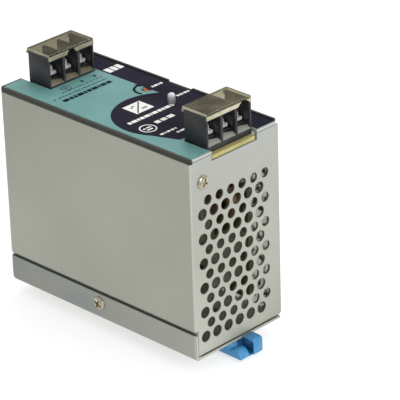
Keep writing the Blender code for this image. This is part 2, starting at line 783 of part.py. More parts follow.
def make_clamp(name, x, front):
    """Square wire clamp with a clearance hole for its screw, tilted lips at its front and rear edges."""
    y = front + SCREW_BACK
    low, high = CLAMP_REST, CLAMP_REST + CLAMP_THICK
    clamp = box_part(
        name, "zinc_steel", (x - CLAMP_HALF, y - CLAMP_HALF, low), (x + CLAMP_HALF, y + CLAMP_HALF, high)
    )
    cut(
        clamp,
        lambda bm: add_rod(bm, (x, y, low - MM), (x, y, high + MM), SCREW_SHANK + 0.3 * MM, 12),
        "screw_hole",
    )
    cut(
        clamp,
        lambda bm: add_rod(
            bm,
            (x - 5 * MM, y, low - 0.5 * MM),
            (x + 5 * MM, y, low - 0.5 * MM),
            0.9 * MM,
            8,
        ),
        "wire_groove",
    )
    set_origin(clamp, (x, y, high))
    return clamp


def make_terminal_screw(name, x, front):
    """Slotted terminal screw that carries its clamp."""
    y = front + SCREW_BACK
    seat = CLAMP_REST + CLAMP_THICK + 0.05 * MM
    top = seat + SCREW_HEAD_HEIGHT
    screw = part(
        name,
        "zinc_steel",
        lambda bm: add_rod(bm, (x, y, seat), (x, y, top), SCREW_HEAD, 16, SCREW_HEAD - 0.2 * MM),
    )
    shank_end = TERMINAL_BOARD_TOP + GAP + 1.2 * MM
    join(
        screw,
        lambda bm: add_rod(bm, (x, y, shank_end), (x, y, seat + MM), SCREW_SHANK, 10),
        "shank",
    )
    cut(
        screw,
        lambda bm: add_box(
            bm, (x - 4 * MM, y - 0.4 * MM, top - 0.9 * MM), (x + 4 * MM, y + 0.4 * MM, top + MM)
        ),
        "slot",
    )
    set_origin(screw, (x, y, seat))
    return screw


def make_terminals():
    make_flip_cover("input_cover", INPUT_FRONT_Y, 1, 5.0 * MM, 2.0 * MM)
    make_flip_cover("output_cover", OUTPUT_FRONT_Y, 2, 6.6 * MM, 1.8 * MM)
    for side, front in (("input", INPUT_FRONT_Y), ("output", OUTPUT_FRONT_Y)):
        make_block(f"{side}_block", front)
        for pole in range(POLES):
            make_clamp(f"{side}_clamp_{pole + 1}", pole_x(pole), front)
            make_terminal_screw(f"{side}_screw_{pole + 1}", pole_x(pole), front)


# ---------------------------------------------------------------- controls on the label face


def make_trimmer():
    """Trimmer: a cup under the terminal board, and a rotor whose slotted shaft comes up through the board."""
    x, y = TRIMMER
    high = TERMINAL_BOARD_TOP - BOARD - GAP
    low = high - TRIMMER_HEIGHT
    floor = low + 0.8 * MM
    well = TRIMMER_RADIUS - 0.7 * MM
    body = part(
        "trimmer_body", "trimmer_blue", lambda bm: add_rod(bm, (x, y, low), (x, y, high), TRIMMER_RADIUS, 20)
    )
    cut(body, lambda bm: add_rod(bm, (x, y, floor), (x, y, high + MM), well, 20), "well")
    drum_low, drum_high = floor + 0.2 * MM, high - 0.2 * MM
    rotor = part(
        "trimmer_rotor",
        "trimmer_brass",
        lambda bm: add_rod(bm, (x, y, drum_low), (x, y, drum_high), well - 0.3 * MM, 20),
    )
    shaft_top = 86.2 * MM
    join(
        rotor,
        lambda bm: add_rod(bm, (x, y, drum_high - MM), (x, y, shaft_top), TRIMMER_SHAFT, 16),
        "shaft",
    )
    half = 0.28 * MM
    cut(
        rotor,
        lambda bm: add_box(bm, (x - 2 * MM, y - half, shaft_top - 0.7 * MM), (x + 2 * MM, y + half, TOP_Z)),
        "slot",
    )
    set_origin(rotor, (x, y, drum_low))


def make_led():
    """Round LED: flange, barrel and dome, turned about its own axis."""
    x, y = LED
    low = TERMINAL_BOARD_TOP + GAP
    barrel_top = TOP_Z + 2.8 * MM
    radius = 1.6 * MM
    dome = arc((0, barrel_top), radius, 90, 0, 5)
    profile = [*dome, (radius, low + 1 * MM), (1.9 * MM, low + 1 * MM), (1.9 * MM, low), (0, low)]
    mesh = bpy.data.meshes.new("status_led")
    points = [(max(px, 0.0), 0, pz) for px, pz in profile]
    edges = [(k, k + 1) for k in range(len(points) - 1)]
    mesh.from_pydata(points, edges, [])
    obj = bpy.data.objects.new("status_led", mesh)
    PARTS.objects.link(obj)
    mesh.materials.append(MATERIALS["led_clear"])
    turn = obj.modifiers.new("turn", "SCREW")
    turn.steps = 14
    turn.render_steps = 14
    turn.use_merge_vertices = True
    turn.merge_threshold = 0.00001
    obj.location = (x, y, 0)
    return obj


# ---------------------------------------------------------------- boards and components


def make_boards():
    low, high = TERMINAL_BOARD_TOP - BOARD, TERMINAL_BOARD_TOP
    board = box_part(
        "terminal_board", "board_yellow", (-11.9 * MM, -51.6 * MM, low), (11.9 * MM, 50.5 * MM, high)
    )
    inset = 0.001 * MM
    join(
        board,
        lambda bm: add_box(bm, (-14 * MM, -28 * MM, low + inset), (19 * MM, 28 * MM, high - inset)),
        "wide_middle",
    )
    cut(board, lambda bm: drill(bm, (*TRIMMER, high), "Z", TRIMMER_SHAFT + GAP), "shaft_hole")
    box_part(
        "main_board",
        "board_green",
        (MAIN_BOARD_X - BOARD, BOARD_END_Y[0], BOARD_Z[0]),
        (MAIN_BOARD_X, BOARD_END_Y[1], BOARD_Z[1]),
    )
    link_x = COMPONENT_X - 2.5 * MM
    box_part("board_link", "device_black", (link_x, -22 * MM, 74 * MM), (COMPONENT_X, 2 * MM, low - GAP))
    box_part("insulation_sheet", "insulation", (-20.9 * MM, -48 * MM, 3 * MM), (-20.5 * MM, 50 * MM, 80 * MM))
    for k, (y, z) in enumerate(((-37, 22), (44, 22), (-37, 74), (44, 74)), start=1):
        start = (MAIN_BOARD_X + GAP, y * MM, z * MM)
        end = (JOGGLE_X, y * MM, z * MM)
        part(f"board_standoff_{k}", "nylon", lambda bm, a=start, b=end: add_rod(bm, a, b, 2.6 * MM, 6))


def make_transformer():
    """Ferrite core with two windows, and a taped winding round its middle leg."""
    y, z = 4 * MM, 46 * MM
    right = COMPONENT_X
    left = right - 27 * MM
    core = box_part(
        "transformer_core", "ferrite", (left, y - 15 * MM, z - 6 * MM), (right, y + 15 * MM, z + 6 * MM)
    )

    def windows(bm):
        for side in (-1, 1):
            low, high = sorted((side * 4.5 * MM, side * 10.5 * MM))
            add_box(bm, (left + 4.5 * MM, y + low, z - 9 * MM), (right - 4.5 * MM, y + high, z + 9 * MM))

    cut(core, windows, "windows")
    winding = box_part(
        "transformer_winding",
        "winding_tape",
        (left + 4.8 * MM, y - 10.2 * MM, z - 12 * MM),
        (right - 4.8 * MM, y + 10.2 * MM, z + 12 * MM),
    )
    cut(
        winding,
        lambda bm: add_box(
            bm, (left, y - 4.8 * MM, z - 6.3 * MM), (right, y + 4.8 * MM, z + 6.3 * MM)
        ),
        "middle_leg",
    )


def make_capacitors():
    def can(name, start, end, radius):
        part(name, "capacitor_sleeve", lambda bm: add_rod(bm, start, end, radius, 16))

    bulk_x = COMPONENT_X - 9.3 * MM
    can("bulk_capacitor", (bulk_x, 12 * MM, 20 * MM), (bulk_x, 44 * MM, 20 * MM), 9 * MM)
    for k, z in ((1, 20 * MM), (2, 33 * MM)):
        y = -36 * MM
        can(f"output_capacitor_{k}", (COMPONENT_X, y, z), (COMPONENT_X - 20 * MM, y, z), 5 * MM)
    box_part(
        "filter_capacitor",
        "filter_box",
        (COMPONENT_X - 15 * MM, 30 * MM, 66 * MM),
        (COMPONENT_X, 47 * MM, 74 * MM),
    )
    disc_x = COMPONENT_X - 6 * MM
    part(
        "suppression_capacitor",
        "ceramic_blue",
        lambda bm: add_rod(bm, (disc_x, 22 * MM, 70 * MM), (disc_x, 26 * MM, 70 * MM), 4.5 * MM, 14),
    )
    bead_x = COMPONENT_X - 7 * MM
    part(
        "inrush_thermistor",
        "thermistor",
        lambda bm: add_rod(bm, (bead_x, 40 * MM, 34 * MM), (bead_x, 44 * MM, 34 * MM), 4 * MM, 14),
    )


def add_ring(bm, centre, radius, tube, axis_turn):
    """A toroid, turned from a closed circle about its axis."""
    place = Matrix.Translation(centre) @ axis_turn
    circle = bmesh.ops.create_circle(
        bm,
        cap_ends=False,
        segments=8,
        radius=tube,
        matrix=place @ Matrix.Translation((radius, 0, 0)) @ Matrix.Rotation(math.pi / 2, 4, "X"),
    )
    edges = list({edge for vert in circle["verts"] for edge in vert.link_edges})
    bmesh.ops.spin(
        bm,
        geom=[*circle["verts"], *edges],
        cent=centre,
        axis=(axis_turn @ Vector((0, 0, 1))),
        angle=2 * math.pi,
        steps=14,
        use_merge=True,
    )


def make_inductors():
    upright = Matrix.Rotation(math.pi / 2, 4, "Y")
    part(
        "common_mode_choke",
        "copper",
        lambda bm: add_ring(bm, (COMPONENT_X - 4.5 * MM, 38.5 * MM, 54 * MM), 6.3 * MM, 3.4 * MM, upright),
    )
    part(
        "output_inductor",
        "copper",
        lambda bm: add_ring(bm, (COMPONENT_X - 4.5 * MM, -32.8 * MM, 50 * MM), 5.2 * MM, 3 * MM, upright),
    )


def make_heat_sinks():
    right = COMPONENT_X - 1 * MM
    box_part("primary_heat_sink", "heat_sink", (-12 * MM, 26 * MM, 31 * MM), (right, 28 * MM, 64 * MM))
    sink = box_part(
        "secondary_heat_sink", "heat_sink", (-14 * MM, -24 * MM, 22 * MM), (right, -22 * MM, 66 * MM)
    )
    fold_low = (right - 2 * MM, BOARD_END_Y[0], 60 * MM)
    fold_high = (right - 0.01 * MM, -22.01 * MM, 65.9 * MM)
    join(sink, lambda bm: add_box(bm, fold_low, fold_high), "return")
    box_part(
        "switching_transistor",
        "device_black",
        (-4 * MM, 21.2 * MM, 32 * MM),
        (6 * MM, 25.7 * MM, 40 * MM),
    )
    box_part(
        "output_rectifier",
        "device_black",
        (-6 * MM, -28.8 * MM, 38 * MM),
        (4 * MM, -24.3 * MM, 53 * MM),
    )


def make_inlet_parts():
    box_part(
        "bridge_rectifier",
        "device_black",
        (COMPONENT_X - 14 * MM, 46 * MM, 26 * MM),
        (COMPONENT_X, 49 * MM, 42 * MM),
    )
    x, z = COMPONENT_X - 4 * MM, 39 * MM
    part(
        "inlet_fuse",
        "fuse_glass",
        lambda bm: add_rod(bm, (x, 29.5 * MM, z), (x, 37.5 * MM, z), 2.4 * MM, 12),
    )


make_chassis()
make_case_wrap()
make_front_label()
make_case_screws()
make_rivets()
make_rail_hook()
make_latch_guide()
make_rail_latch()
make_latch_spring()
make_terminals()
make_trimmer()
make_led()
make_boards()
make_transformer()
make_capacitors()
make_inductors()
make_heat_sinks()
make_inlet_parts()
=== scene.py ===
"""Looks of the DIN rail power supply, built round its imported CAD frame.

X runs along the rail, -Y is the end with the latch, +Z points out of the rail to the printed face.
"""

import json
import math

import bmesh
import bpy
from mathutils import Matrix, Quaternion, Vector


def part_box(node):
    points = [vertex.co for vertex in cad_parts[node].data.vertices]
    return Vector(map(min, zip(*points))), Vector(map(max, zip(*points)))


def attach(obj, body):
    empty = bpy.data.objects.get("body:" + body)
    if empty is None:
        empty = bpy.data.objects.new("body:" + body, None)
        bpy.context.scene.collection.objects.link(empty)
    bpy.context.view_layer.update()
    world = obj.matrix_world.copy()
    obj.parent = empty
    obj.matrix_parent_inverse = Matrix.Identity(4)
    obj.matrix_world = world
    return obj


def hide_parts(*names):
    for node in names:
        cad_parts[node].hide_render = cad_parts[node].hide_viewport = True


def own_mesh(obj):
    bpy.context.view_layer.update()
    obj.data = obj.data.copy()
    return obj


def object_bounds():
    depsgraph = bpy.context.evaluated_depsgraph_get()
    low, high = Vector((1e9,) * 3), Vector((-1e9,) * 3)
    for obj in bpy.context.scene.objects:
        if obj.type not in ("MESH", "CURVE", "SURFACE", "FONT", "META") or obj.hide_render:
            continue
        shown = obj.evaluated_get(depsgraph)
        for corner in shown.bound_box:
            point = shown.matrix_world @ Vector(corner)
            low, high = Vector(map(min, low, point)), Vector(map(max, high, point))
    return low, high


MM = 0.001

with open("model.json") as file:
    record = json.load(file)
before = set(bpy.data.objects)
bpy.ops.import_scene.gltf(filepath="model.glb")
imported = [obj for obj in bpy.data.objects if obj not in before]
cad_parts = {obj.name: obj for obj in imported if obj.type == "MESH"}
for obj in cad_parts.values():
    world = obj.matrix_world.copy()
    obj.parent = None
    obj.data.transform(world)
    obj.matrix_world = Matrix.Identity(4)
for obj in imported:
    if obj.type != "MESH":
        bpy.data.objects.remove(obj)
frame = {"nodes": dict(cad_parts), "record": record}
CAD_LOW, CAD_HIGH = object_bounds()
NODES = frame["nodes"]

# The case, from the frame
CASE_LOW, CASE_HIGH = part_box("case_wrap")
CHASSIS_LOW, CHASSIS_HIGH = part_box("chassis")
LABEL_LOW, LABEL_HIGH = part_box("front_label")
EDGE_X = CASE_HIGH.x
LOW_Y, HIGH_Y = CASE_LOW.y, CASE_HIGH.y
FRONT_TOP = CASE_HIGH.z
PRINT_Z = LABEL_HIGH.z
SHEET = 1.0 * MM
GAP = 0.3 * MM
JOGGLE_X = EDGE_X - SHEET - GAP
FRONT_Z = FRONT_TOP - SHEET
END_TOP = FRONT_Z - 0.25 * MM
BEND = 0.8 * MM
FRONT_BEND = 1.5 * MM
FAR_CORNER = 2.0 * MM
FLANGE_TOP = 11.1 * MM
WRAP_Z = FLANGE_TOP + 1.6 * MM
FOOT_Z = CASE_LOW.z
PAD = 0.15 * MM
NOTCH_HALF_WIDTH = 12.6 * MM
SCREW_HOLE = 1.9 * MM
RIVET_HOLE = 1.3 * MM
CONTROL_HOLE = 2.2 * MM
CONTROLS = ("trimmer_rotor", "status_led")
RIVETS = ("hook_rivet_1", "hook_rivet_2", "guide_rivet_1", "guide_rivet_2")

# Vents: rows from the top, alternately small and large
VENT_COLUMNS = 6
VENT_ROWS = 12
VENT_PITCH = 6.35 * MM
VENT_ROW_PITCH = 5.3 * MM
VENT_FIRST_X = -18.5 * MM
VENT_FIRST_Z = 67.0 * MM
VENT_RADII = (2.1 * MM, 2.4 * MM)
VENT_SIDES = 28

# Terminal blocks
BLOCK_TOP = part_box("output_block")[1].z
BLOCK_HALF_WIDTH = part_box("output_block")[1].x
BLOCK_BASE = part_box("output_block")[0].z
BLOCK_DEPTH = 12.2 * MM
BLOCK_FLOOR = 88.6 * MM
POLE_PITCH = 8.1 * MM
DIVIDER = 1.0 * MM
BOARD_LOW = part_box("terminal_board")[0]
COVER_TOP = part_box("output_cover")[1].z
COVER_STEP = 1.0 * MM
BORE_FROM_FRONT = 7.1 * MM
REAR_WINDOW_Z = 94.0 * MM
HINGE_BEHIND = 0.7 * MM
HINGE_Z = 98.9 * MM


# ---- mesh tools


def add_box(bm, low, high):
    low, high = Vector(low), Vector(high)
    place = Matrix.Translation((low + high) / 2) @ Matrix.Diagonal((*(high - low), 1.0))
    bmesh.ops.create_cube(bm, size=1.0, matrix=place)


def add_rod(bm, start, end, radius, sides=32):
    start, end = Vector(start), Vector(end)
    along = end - start
    turn = Vector((0, 0, 1)).rotation_difference(along).to_matrix().to_4x4()
    bmesh.ops.create_cone(
        bm,
        cap_ends=True,
        segments=sides,
        radius1=radius,
        radius2=radius,
        depth=along.length,
        matrix=Matrix.Translation((start + end) / 2) @ turn,
    )


def add_upright(bm, x, y, low, high, radius, sides=32):
    add_rod(bm, (x, y, low), (x, y, high), radius, sides)


def add_prism(bm, outline, axis, low, high):
    """An outline extruded along X, Y or Z; its points hold the other two coordinates in order."""

    def corner(point, along):
        values = list(point)
        values.insert("XYZ".index(axis), along)
        return bm.verts.new(values)

    face = bm.faces.new([corner(point, low) for point in outline])
    moved = bmesh.ops.extrude_face_region(bm, geom=[face])
    step = Vector([high - low if name == axis else 0.0 for name in "XYZ"])
    fresh = [item for item in moved["geom"] if isinstance(item, bmesh.types.BMVert)]
    bmesh.ops.translate(bm, verts=fresh, vec=step)


def add_turned(bm, profile, centre, along, steps=40):
    """A solid of revolution; profile holds (radius, distance along the axis) from one end to the other."""
    turn = Vector((0, 0, 1)).rotation_difference(Vector(along)).to_matrix().to_4x4()
    place = Matrix.Translation(centre) @ turn
    rings = []
    for radius, height in profile:
        if radius < 1e-7:
            rings.append([bm.verts.new(place @ Vector((0, 0, height)))])
            continue
        angles = [2 * math.pi * k / steps for k in range(steps)]
        points = [Vector((radius * math.cos(a), radius * math.sin(a), height)) for a in angles]
        rings.append([bm.verts.new(place @ point) for point in points])
    for first, second in zip(rings, rings[1:]):
        for k in range(steps):
            near, far = k, (k + 1) % steps
            if len(first) == 1:
                bm.faces.new((first[0], second[near], second[far]))
            elif len(second) == 1:
                bm.faces.new((first[near], first[far], second[0]))
            else:
                bm.faces.new((first[near], first[far], second[far], second[near]))


def arc(centre, radius, start, end, steps):
    turns = [math.radians(start + (end - start) * step / steps) for step in range(steps + 1)]
    return [(centre[0] + radius * math.cos(t), centre[1] + radius * math.sin(t)) for t in turns]


def quarter(radius, height, steps):
    """Points of a quarter ellipse, from its rim to its crown."""
    turns = [math.pi / 2 * step / steps for step in range(steps + 1)]
    return [(radius * math.cos(t), height * math.sin(t)) for t in turns]


def rounded(corners, radius):
    """An open path with right-angled corners, each rounded to a radius."""
    path = [Vector(corners[0])]
    steps = 8
    for before, corner, after in zip(corners, corners[1:], corners[2:]):
        corner = Vector(corner)
        back = (Vector(before) - corner).normalized()
        ahead = (Vector(after) - corner).normalized()
        centre = corner + (back + ahead) * radius
        for step in range(steps + 1):
            turn = math.pi / 2 * step / steps
            path.append(centre - ahead * radius * math.cos(turn) - back * radius * math.sin(turn))
    path.append(Vector(corners[-1]))
    return path


def offset_path(path, distance):
    """An open path moved to its left by a distance, mitred at its corners."""
    points = [Vector(point) for point in path]
    normals = []
    for first, second in zip(points, points[1:]):
        along = (second - first).normalized()
        normals.append(Vector((-along.y, along.x)))
    moved = []
    for k, point in enumerate(points):
        before = normals[max(k - 1, 0)]
        after = normals[min(k, len(normals) - 1)]
        mitre = (before + after).normalized()
        moved.append(point + mitre * distance / mitre.dot(after))
    return moved


def sheet_outline(corners, radius):
    return [*rounded(corners, radius), *reversed(offset_path(corners, SHEET))]


def middle_of(node):
    return sum(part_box(node), Vector()) / 2


def mesh_object(name, build):
    bm = bmesh.new()
    build(bm)
    bmesh.ops.recalc_face_normals(bm, faces=bm.faces)
    mesh = bpy.data.meshes.new(name)
    bm.to_mesh(mesh)
    bm.free()
    obj = bpy.data.objects.new(name, mesh)
    bpy.context.scene.collection.objects.link(obj)
    return obj


def apply_modifiers(obj):
    """Leaves the shape that the modifiers make as the object's own mesh."""
    graph = bpy.context.evaluated_depsgraph_get()
    mesh = bpy.data.meshes.new_from_object(obj.evaluated_get(graph))
    obj.modifiers.clear()
    obj.data = mesh


def combine(obj, operation, build):
    tool = mesh_object(obj.name + "_tool", build)
    change = obj.modifiers.new("change", "BOOLEAN")
    change.operation = operation
    change.object = tool
    change.solver = "EXACT"
    change.use_self = True
    apply_modifiers(obj)
    bpy.data.objects.remove(tool, do_unlink=True)


def cut(obj, build):
    combine(obj, "DIFFERENCE", build)


def join(obj, build):
    combine(obj, "UNION", build)


def soften(obj, width, segments=2, angle=40, finish=0):
    """Rounds the sharp edges of a piece; the rounded strips take one of its materials."""
    rounding = obj.modifiers.new("rounding", "BEVEL")
    rounding.material = finish
    rounding.width = width
    rounding.segments = segments
    rounding.limit_method = "ANGLE"
    rounding.angle_limit = math.radians(angle)
    rounding.harden_normals = True
    apply_modifiers(obj)


def give(obj, *materials):
    """Sets the materials of an object, and keeps which face has which."""
    while len(obj.data.materials) < len(materials):
        obj.data.materials.append(None)
    for k, material in enumerate(materials):
        obj.data.materials[k] = material


def piece(obj, material, body, slot, *replaced, smooth=32):
    """Finishes a piece: its shading, material, body and the CAD nodes it stands for; its slot argument is not
    used.
    """
    obj.data.shade_smooth()
    obj.data.set_sharp_from_angle(angle=math.radians(smooth))
    give(obj, *(material if isinstance(material, tuple) else (material,)))
    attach(obj, body)
    if replaced:
        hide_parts(*replaced)
    return obj


# ---- material tools


def set_range(node, from_low, from_high, low, high):
    """Sets the four ends of a Map Range node."""
    names = ("From Min", "From Max", "To Min", "To Max")
    for name, number in zip(names, (from_low, from_high, low, high)):
        node.inputs[name].default_value = number


class Graph:
    """The nodes of one material, with its Principled shader."""

    def __init__(self, name):
        self.material = bpy.data.materials.new(name)
        self.material.use_nodes = True
        self.tree = self.material.node_tree
        self.shader = self.tree.nodes["Principled BSDF"]
        self.place = self.add("ShaderNodeTexCoord").outputs["Object"]

    def add(self, kind, settings=None, **inputs):
        node = self.tree.nodes.new(kind)
        for key, value in (settings or {}).items():
            setattr(node, key, value)
        for key, value in inputs.items():
            self.feed(node, key.replace("_", " "), value)
        return node

    def feed(self, node, key, value):
        socket = node.inputs[int(key)] if key.isdigit() else node.inputs[key]
        if isinstance(value, bpy.types.NodeSocket):
            self.tree.links.new(value, socket)
        else:
            socket.default_value = value

    def set(self, **inputs):
        for key, value in inputs.items():
            self.feed(self.shader, key.replace("_", " "), value)

    def maths(self, operation, first, second=0.0, third=0.0):
        node = self.add("ShaderNodeMath", {"operation": operation})
        for k, value in enumerate((first, second, third)):
            self.feed(node, str(k), value)
        return node.outputs[0]

    def stretched(self, stretch):
        return self.add("ShaderNodeMapping", Vector=self.place, Scale=stretch).outputs[0]

    def noise(self, scale, detail=2.0, stretch=None):
        where = self.stretched(stretch) if stretch else self.place
        return self.add("ShaderNodeTexNoise", Vector=where, Scale=scale, Detail=detail).outputs[0]

    def between(self, value, low, high, from_low=0.3, from_high=0.7):
        node = self.add("ShaderNodeMapRange", Value=value)
        set_range(node, from_low, from_high, low, high)
        return node.outputs[0]

    def mix(self, amount, first, second, blend="MIX"):
        node = self.add("ShaderNodeMix", {"data_type": "RGBA", "blend_type": blend})
        self.feed(node, "0", amount)
        for k, value in ((6, first), (7, second)):
            self.feed(node, str(k), (*value, 1.0) if isinstance(value, tuple) and len(value) == 3 else value)
        return node.outputs[2]

    def bump(self, height, distance, strength=1.0, normal=None):
        node = self.add("ShaderNodeBump", Height=height, Distance=distance, Strength=strength)
        if normal is not None:
            self.feed(node, "Normal", normal)
        return node.outputs[0]

    def soft_edges(self, radius):
        return self.add("ShaderNodeBevel", {"samples": 4}, Radius=radius).outputs[0]

    def edge_wear(self, radius):
        """From 0 on flat ground to 1 on a convex or concave edge."""
        flat = self.add("ShaderNodeNewGeometry").outputs["Normal"]
        match = self.add("ShaderNodeVectorMath", {"operation": "DOT_PRODUCT"})
        self.feed(match, "0", self.soft_edges(radius))
        self.feed(match, "1", flat)
        return self.between(match.outputs["Value"], 1.0, 0.0, 0.82, 0.98)

    def axes(self):
        return self.add("ShaderNodeSeparateXYZ", Vector=self.place).outputs

    def facing(self):
        """Which way the surface looks, in the object's own axes."""
        normal = self.add("ShaderNodeTexCoord").outputs["Normal"]
        return self.add("ShaderNodeSeparateXYZ", Vector=normal).outputs

    def above(self, value, limit):
        return self.maths("GREATER_THAN", value, limit)

    def below(self, value, limit):
        return self.maths("LESS_THAN", value, limit)

    def both(self, first, *others):
        for other in others:
            first = self.maths("MULTIPLY", first, other)
        return first


# The dim olive light inside the case, which a few samples of bounced light would miss
INSIDE_GLOW = (0.75, 0.68, 0.46, 1.0)


def grained(
    name, dark, light, grain=900.0, patch=60.0, rough=(0.35, 0.5), metal=0.0, depth=0.01, edge=0.15, glow=0.0
):
    """A surface of two close colours: broad patches, a fine grain in its colour, roughness and relief."""
    g = Graph(name)
    broad = g.between(g.noise(patch, 3.0), 0.0, 1.0)
    fine = g.noise(grain, 3.0)
    shade = g.maths("ADD", g.maths("MULTIPLY", broad, 0.65), g.between(fine, 0.0, 0.35))
    g.set(
        Base_Color=g.mix(shade, dark, light),
        Roughness=g.between(fine, rough[0], rough[1]),
        Metallic=metal,
        Normal=g.bump(fine, depth * MM, 1.0, g.soft_edges(edge * MM)),
        Emission_Color=INSIDE_GLOW,
        Emission_Strength=glow,
    )
    return g.material


def hidden(name, dark, light, *rest):
    """A grained finish for the parts inside, with a faint glow."""
    return grained(name, dark, light, *rest, glow=0.035)


# ---- materials


def case_metal():
    """Satin sheet metal, with painted shade and light graded by place: a painted dark reflection on the front
    bend and lip, painted highlights on the near top bend and corner, painted shade in the flange seam and vent
    rims, and painted pools of light with a glow on its inner wall.
    """
    g = Graph("case_metal")
    x, y, z = g.axes()[0:3]
    drift = g.between(g.noise(16.0, 2.0), 0.0, 1.0, 0.35, 0.65)
    lines = g.noise(1.0, 4.0, (260.0, 260.0, 2400.0))
    speck = g.noise(5200.0, 2.0)
    base = g.mix(drift, (0.335, 0.340, 0.282), (0.375, 0.380, 0.322))
    base = g.mix(g.between(speck, 0.0, 0.12), base, (0.22, 0.22, 0.19))
    # Painted shade: darker towards the far end and towards the top.
    far_high_shade = g.both(g.between(y, 0.0, 1.0, -0.02, HIGH_Y), g.between(z, 0.0, 0.30, 0.03, FRONT_TOP))
    base = g.mix(far_high_shade, base, (0.18, 0.18, 0.145))
    # Painted light and shade on the near end: a cooler grey high up, lighter low on the left, darker low on the
    # right.
    near_end = g.below(y, LOW_Y + 0.3 * MM)
    high_up = g.between(z, 0.0, 0.6, FRONT_TOP / 2, FRONT_TOP)
    base = g.mix(g.both(near_end, high_up), base, (0.355, 0.362, 0.350))
    low_down = g.both(near_end, g.between(z, 1.0, 0.0, 0.0, FRONT_TOP / 2))
    base = g.mix(g.both(low_down, g.between(x, 0.45, 0.0, -EDGE_X, 0.0)), base, (0.55, 0.56, 0.50))
    base = g.mix(g.both(low_down, g.between(x, 0.0, 0.35, 0.0, EDGE_X)), base, (0.20, 0.20, 0.16))
    foot = g.both(g.below(z, FLANGE_TOP + 0.1 * MM), g.below(x, -JOGGLE_X))
    cloud = g.between(g.noise(38.0, 1.0), 0.0, 0.75, 0.38, 0.62)
    base = g.mix(g.both(foot, cloud), base, (0.275, 0.305, 0.300))
    # Painted shade: the flange darker towards the far end.
    base = g.mix(g.both(foot, g.between(y, 0.0, 0.5, LOW_Y, HIGH_Y)), base, (0.14, 0.145, 0.14))
    # Painted shade in the seam along the top edge of the flange.
    seam_shade = g.both(foot, g.above(z, FLANGE_TOP - 0.1 * MM))
    base = g.mix(seam_shade, base, (0.090, 0.100, 0.090))
    # Painted light: bright and dark spots on the inner right wall behind the vents, standing for light let in by
    # the vents.
    behind_end = g.both(g.above(y, LOW_Y + 1.2 * MM), g.below(y, HIGH_Y - 1.2 * MM), g.below(z, END_TOP))
    facing_in = g.both(g.below(g.facing()[0], -0.6), g.above(z, SHEET + PAD))
    inside = g.both(g.above(x, EDGE_X - 2.6 * MM), g.below(x, EDGE_X - 0.5 * MM), behind_end, facing_in)
    patches = g.between(g.noise(330.0, 2.0), 0.0, 1.0, 0.42, 0.58)
    base = g.mix(inside, base, g.mix(patches, (0.03, 0.03, 0.025), (0.90, 0.90, 0.85)))
    # Painted highlight along the near top bend.
    near_bend_highlight = g.both(g.below(y, LOW_Y + 0.8 * MM), g.above(z, FRONT_Z - 0.1 * MM))
    base = g.mix(near_bend_highlight, base, (0.42, 0.43, 0.40))
    # Painted highlight down the near left corner.
    at_corner = g.both(g.below(x, -EDGE_X + 0.5 * MM), g.below(y, LOW_Y + 0.5 * MM))
    near_corner_highlight = g.both(at_corner, g.below(z, FRONT_TOP - 2.0 * MM))
    base = g.mix(near_corner_highlight, base, (0.42, 0.43, 0.39))
    # Painted shade in the rims of the vent holes.
    across = g.facing()[1]
    sideways = g.both(g.above(across, -0.6), g.below(across, 0.6))
    rim_side = g.both(sideways, g.above(x, 3.0 * MM - EDGE_X), g.below(x, EDGE_X - 3.0 * MM))
    from_middle = g.maths("ABSOLUTE", g.maths("SUBTRACT", y, (LOW_Y + HIGH_Y) / 2))
    in_wall = g.above(from_middle, (HIGH_Y - LOW_Y) / 2 - 1.2 * MM)
    vent_rim_shade = g.both(rim_side, in_wall, g.below(z, END_TOP - 3.0 * MM), g.above(z, 1.0 * MM))
    base = g.mix(g.maths("MULTIPLY", vent_rim_shade, 0.75), base, (0.045, 0.042, 0.034))
    # Painted dark reflection on the top bends along the left side and the far end, and on the lip along the
    # right edge.
    on_side = g.below(x, -EDGE_X + FRONT_BEND)
    on_far = g.above(y, HIGH_Y - 1.4 * MM)
    high = g.between(z, 0.0, 1.0, FRONT_TOP - 1.9 * MM, FRONT_TOP - 1.6 * MM)
    lip = g.both(g.above(x, JOGGLE_X), g.above(z, FRONT_TOP - 0.4 * MM))
    dark = g.maths("MAXIMUM", g.both(g.maths("MAXIMUM", on_side, on_far), high), lip)
    band = g.mix(g.noise(240.0, 2.0), (0.010, 0.010, 0.006), (0.030, 0.028, 0.019))
    g.set(
        Base_Color=g.mix(dark, base, band),
        Metallic=g.maths("SUBTRACT", 0.30, g.maths("MULTIPLY", g.maths("MAXIMUM", dark, inside), 0.30)),
        Roughness=g.between(lines, 0.40, 0.52),
        Normal=g.bump(lines, 0.006 * MM, 0.6, g.soft_edges(0.25 * MM)),
        # Painted glow of the inner wall's light spots.
        Emission_Color=g.mix(patches, (0.05, 0.05, 0.04), (0.95, 0.95, 0.90)),
        Emission_Strength=g.maths("MULTIPLY", inside, 0.30),
    )
    return g.material


def zinc_steel(name="zinc_steel", tint=(0.24, 0.20, 0.10), pale=(0.66, 0.63, 0.52), rough=(0.14, 0.30)):
    """Zinc plating with a yellow passivation that comes and goes."""
    return grained(name, tint, pale, 700.0, 260.0, rough, 1.0, 0.01, 0.2)


def bright_steel():
    """Zinc steel of the clamps and terminal screws, painted lighter than the case screws as a painted sheen
    where they catch the light from the front.
    """
    dark, light = (0.72, 0.72, 0.69), (0.92, 0.92, 0.90)
    return grained("bright_steel", dark, light, 900.0, 300.0, (0.2, 0.38), 0.55, 0.01, 0.2)


def printed(name, dark, light, rough=(0.42, 0.54), shine=0.22):
    """Ink or film with a faint mottle, and the shallow orange peel of a laminated label."""
    g = Graph(name)
    mottle = g.between(g.noise(55.0, 3.0), 0.0, 1.0)
    peel = g.noise(1400.0, 2.0)
    g.set(
        Base_Color=g.mix(mottle, dark, light),
        Roughness=g.between(peel, rough[0], rough[1]),
        Specular_IOR_Level=shine,
        Normal=g.bump(peel, 0.004 * MM, 0.5),
    )
    return g.material


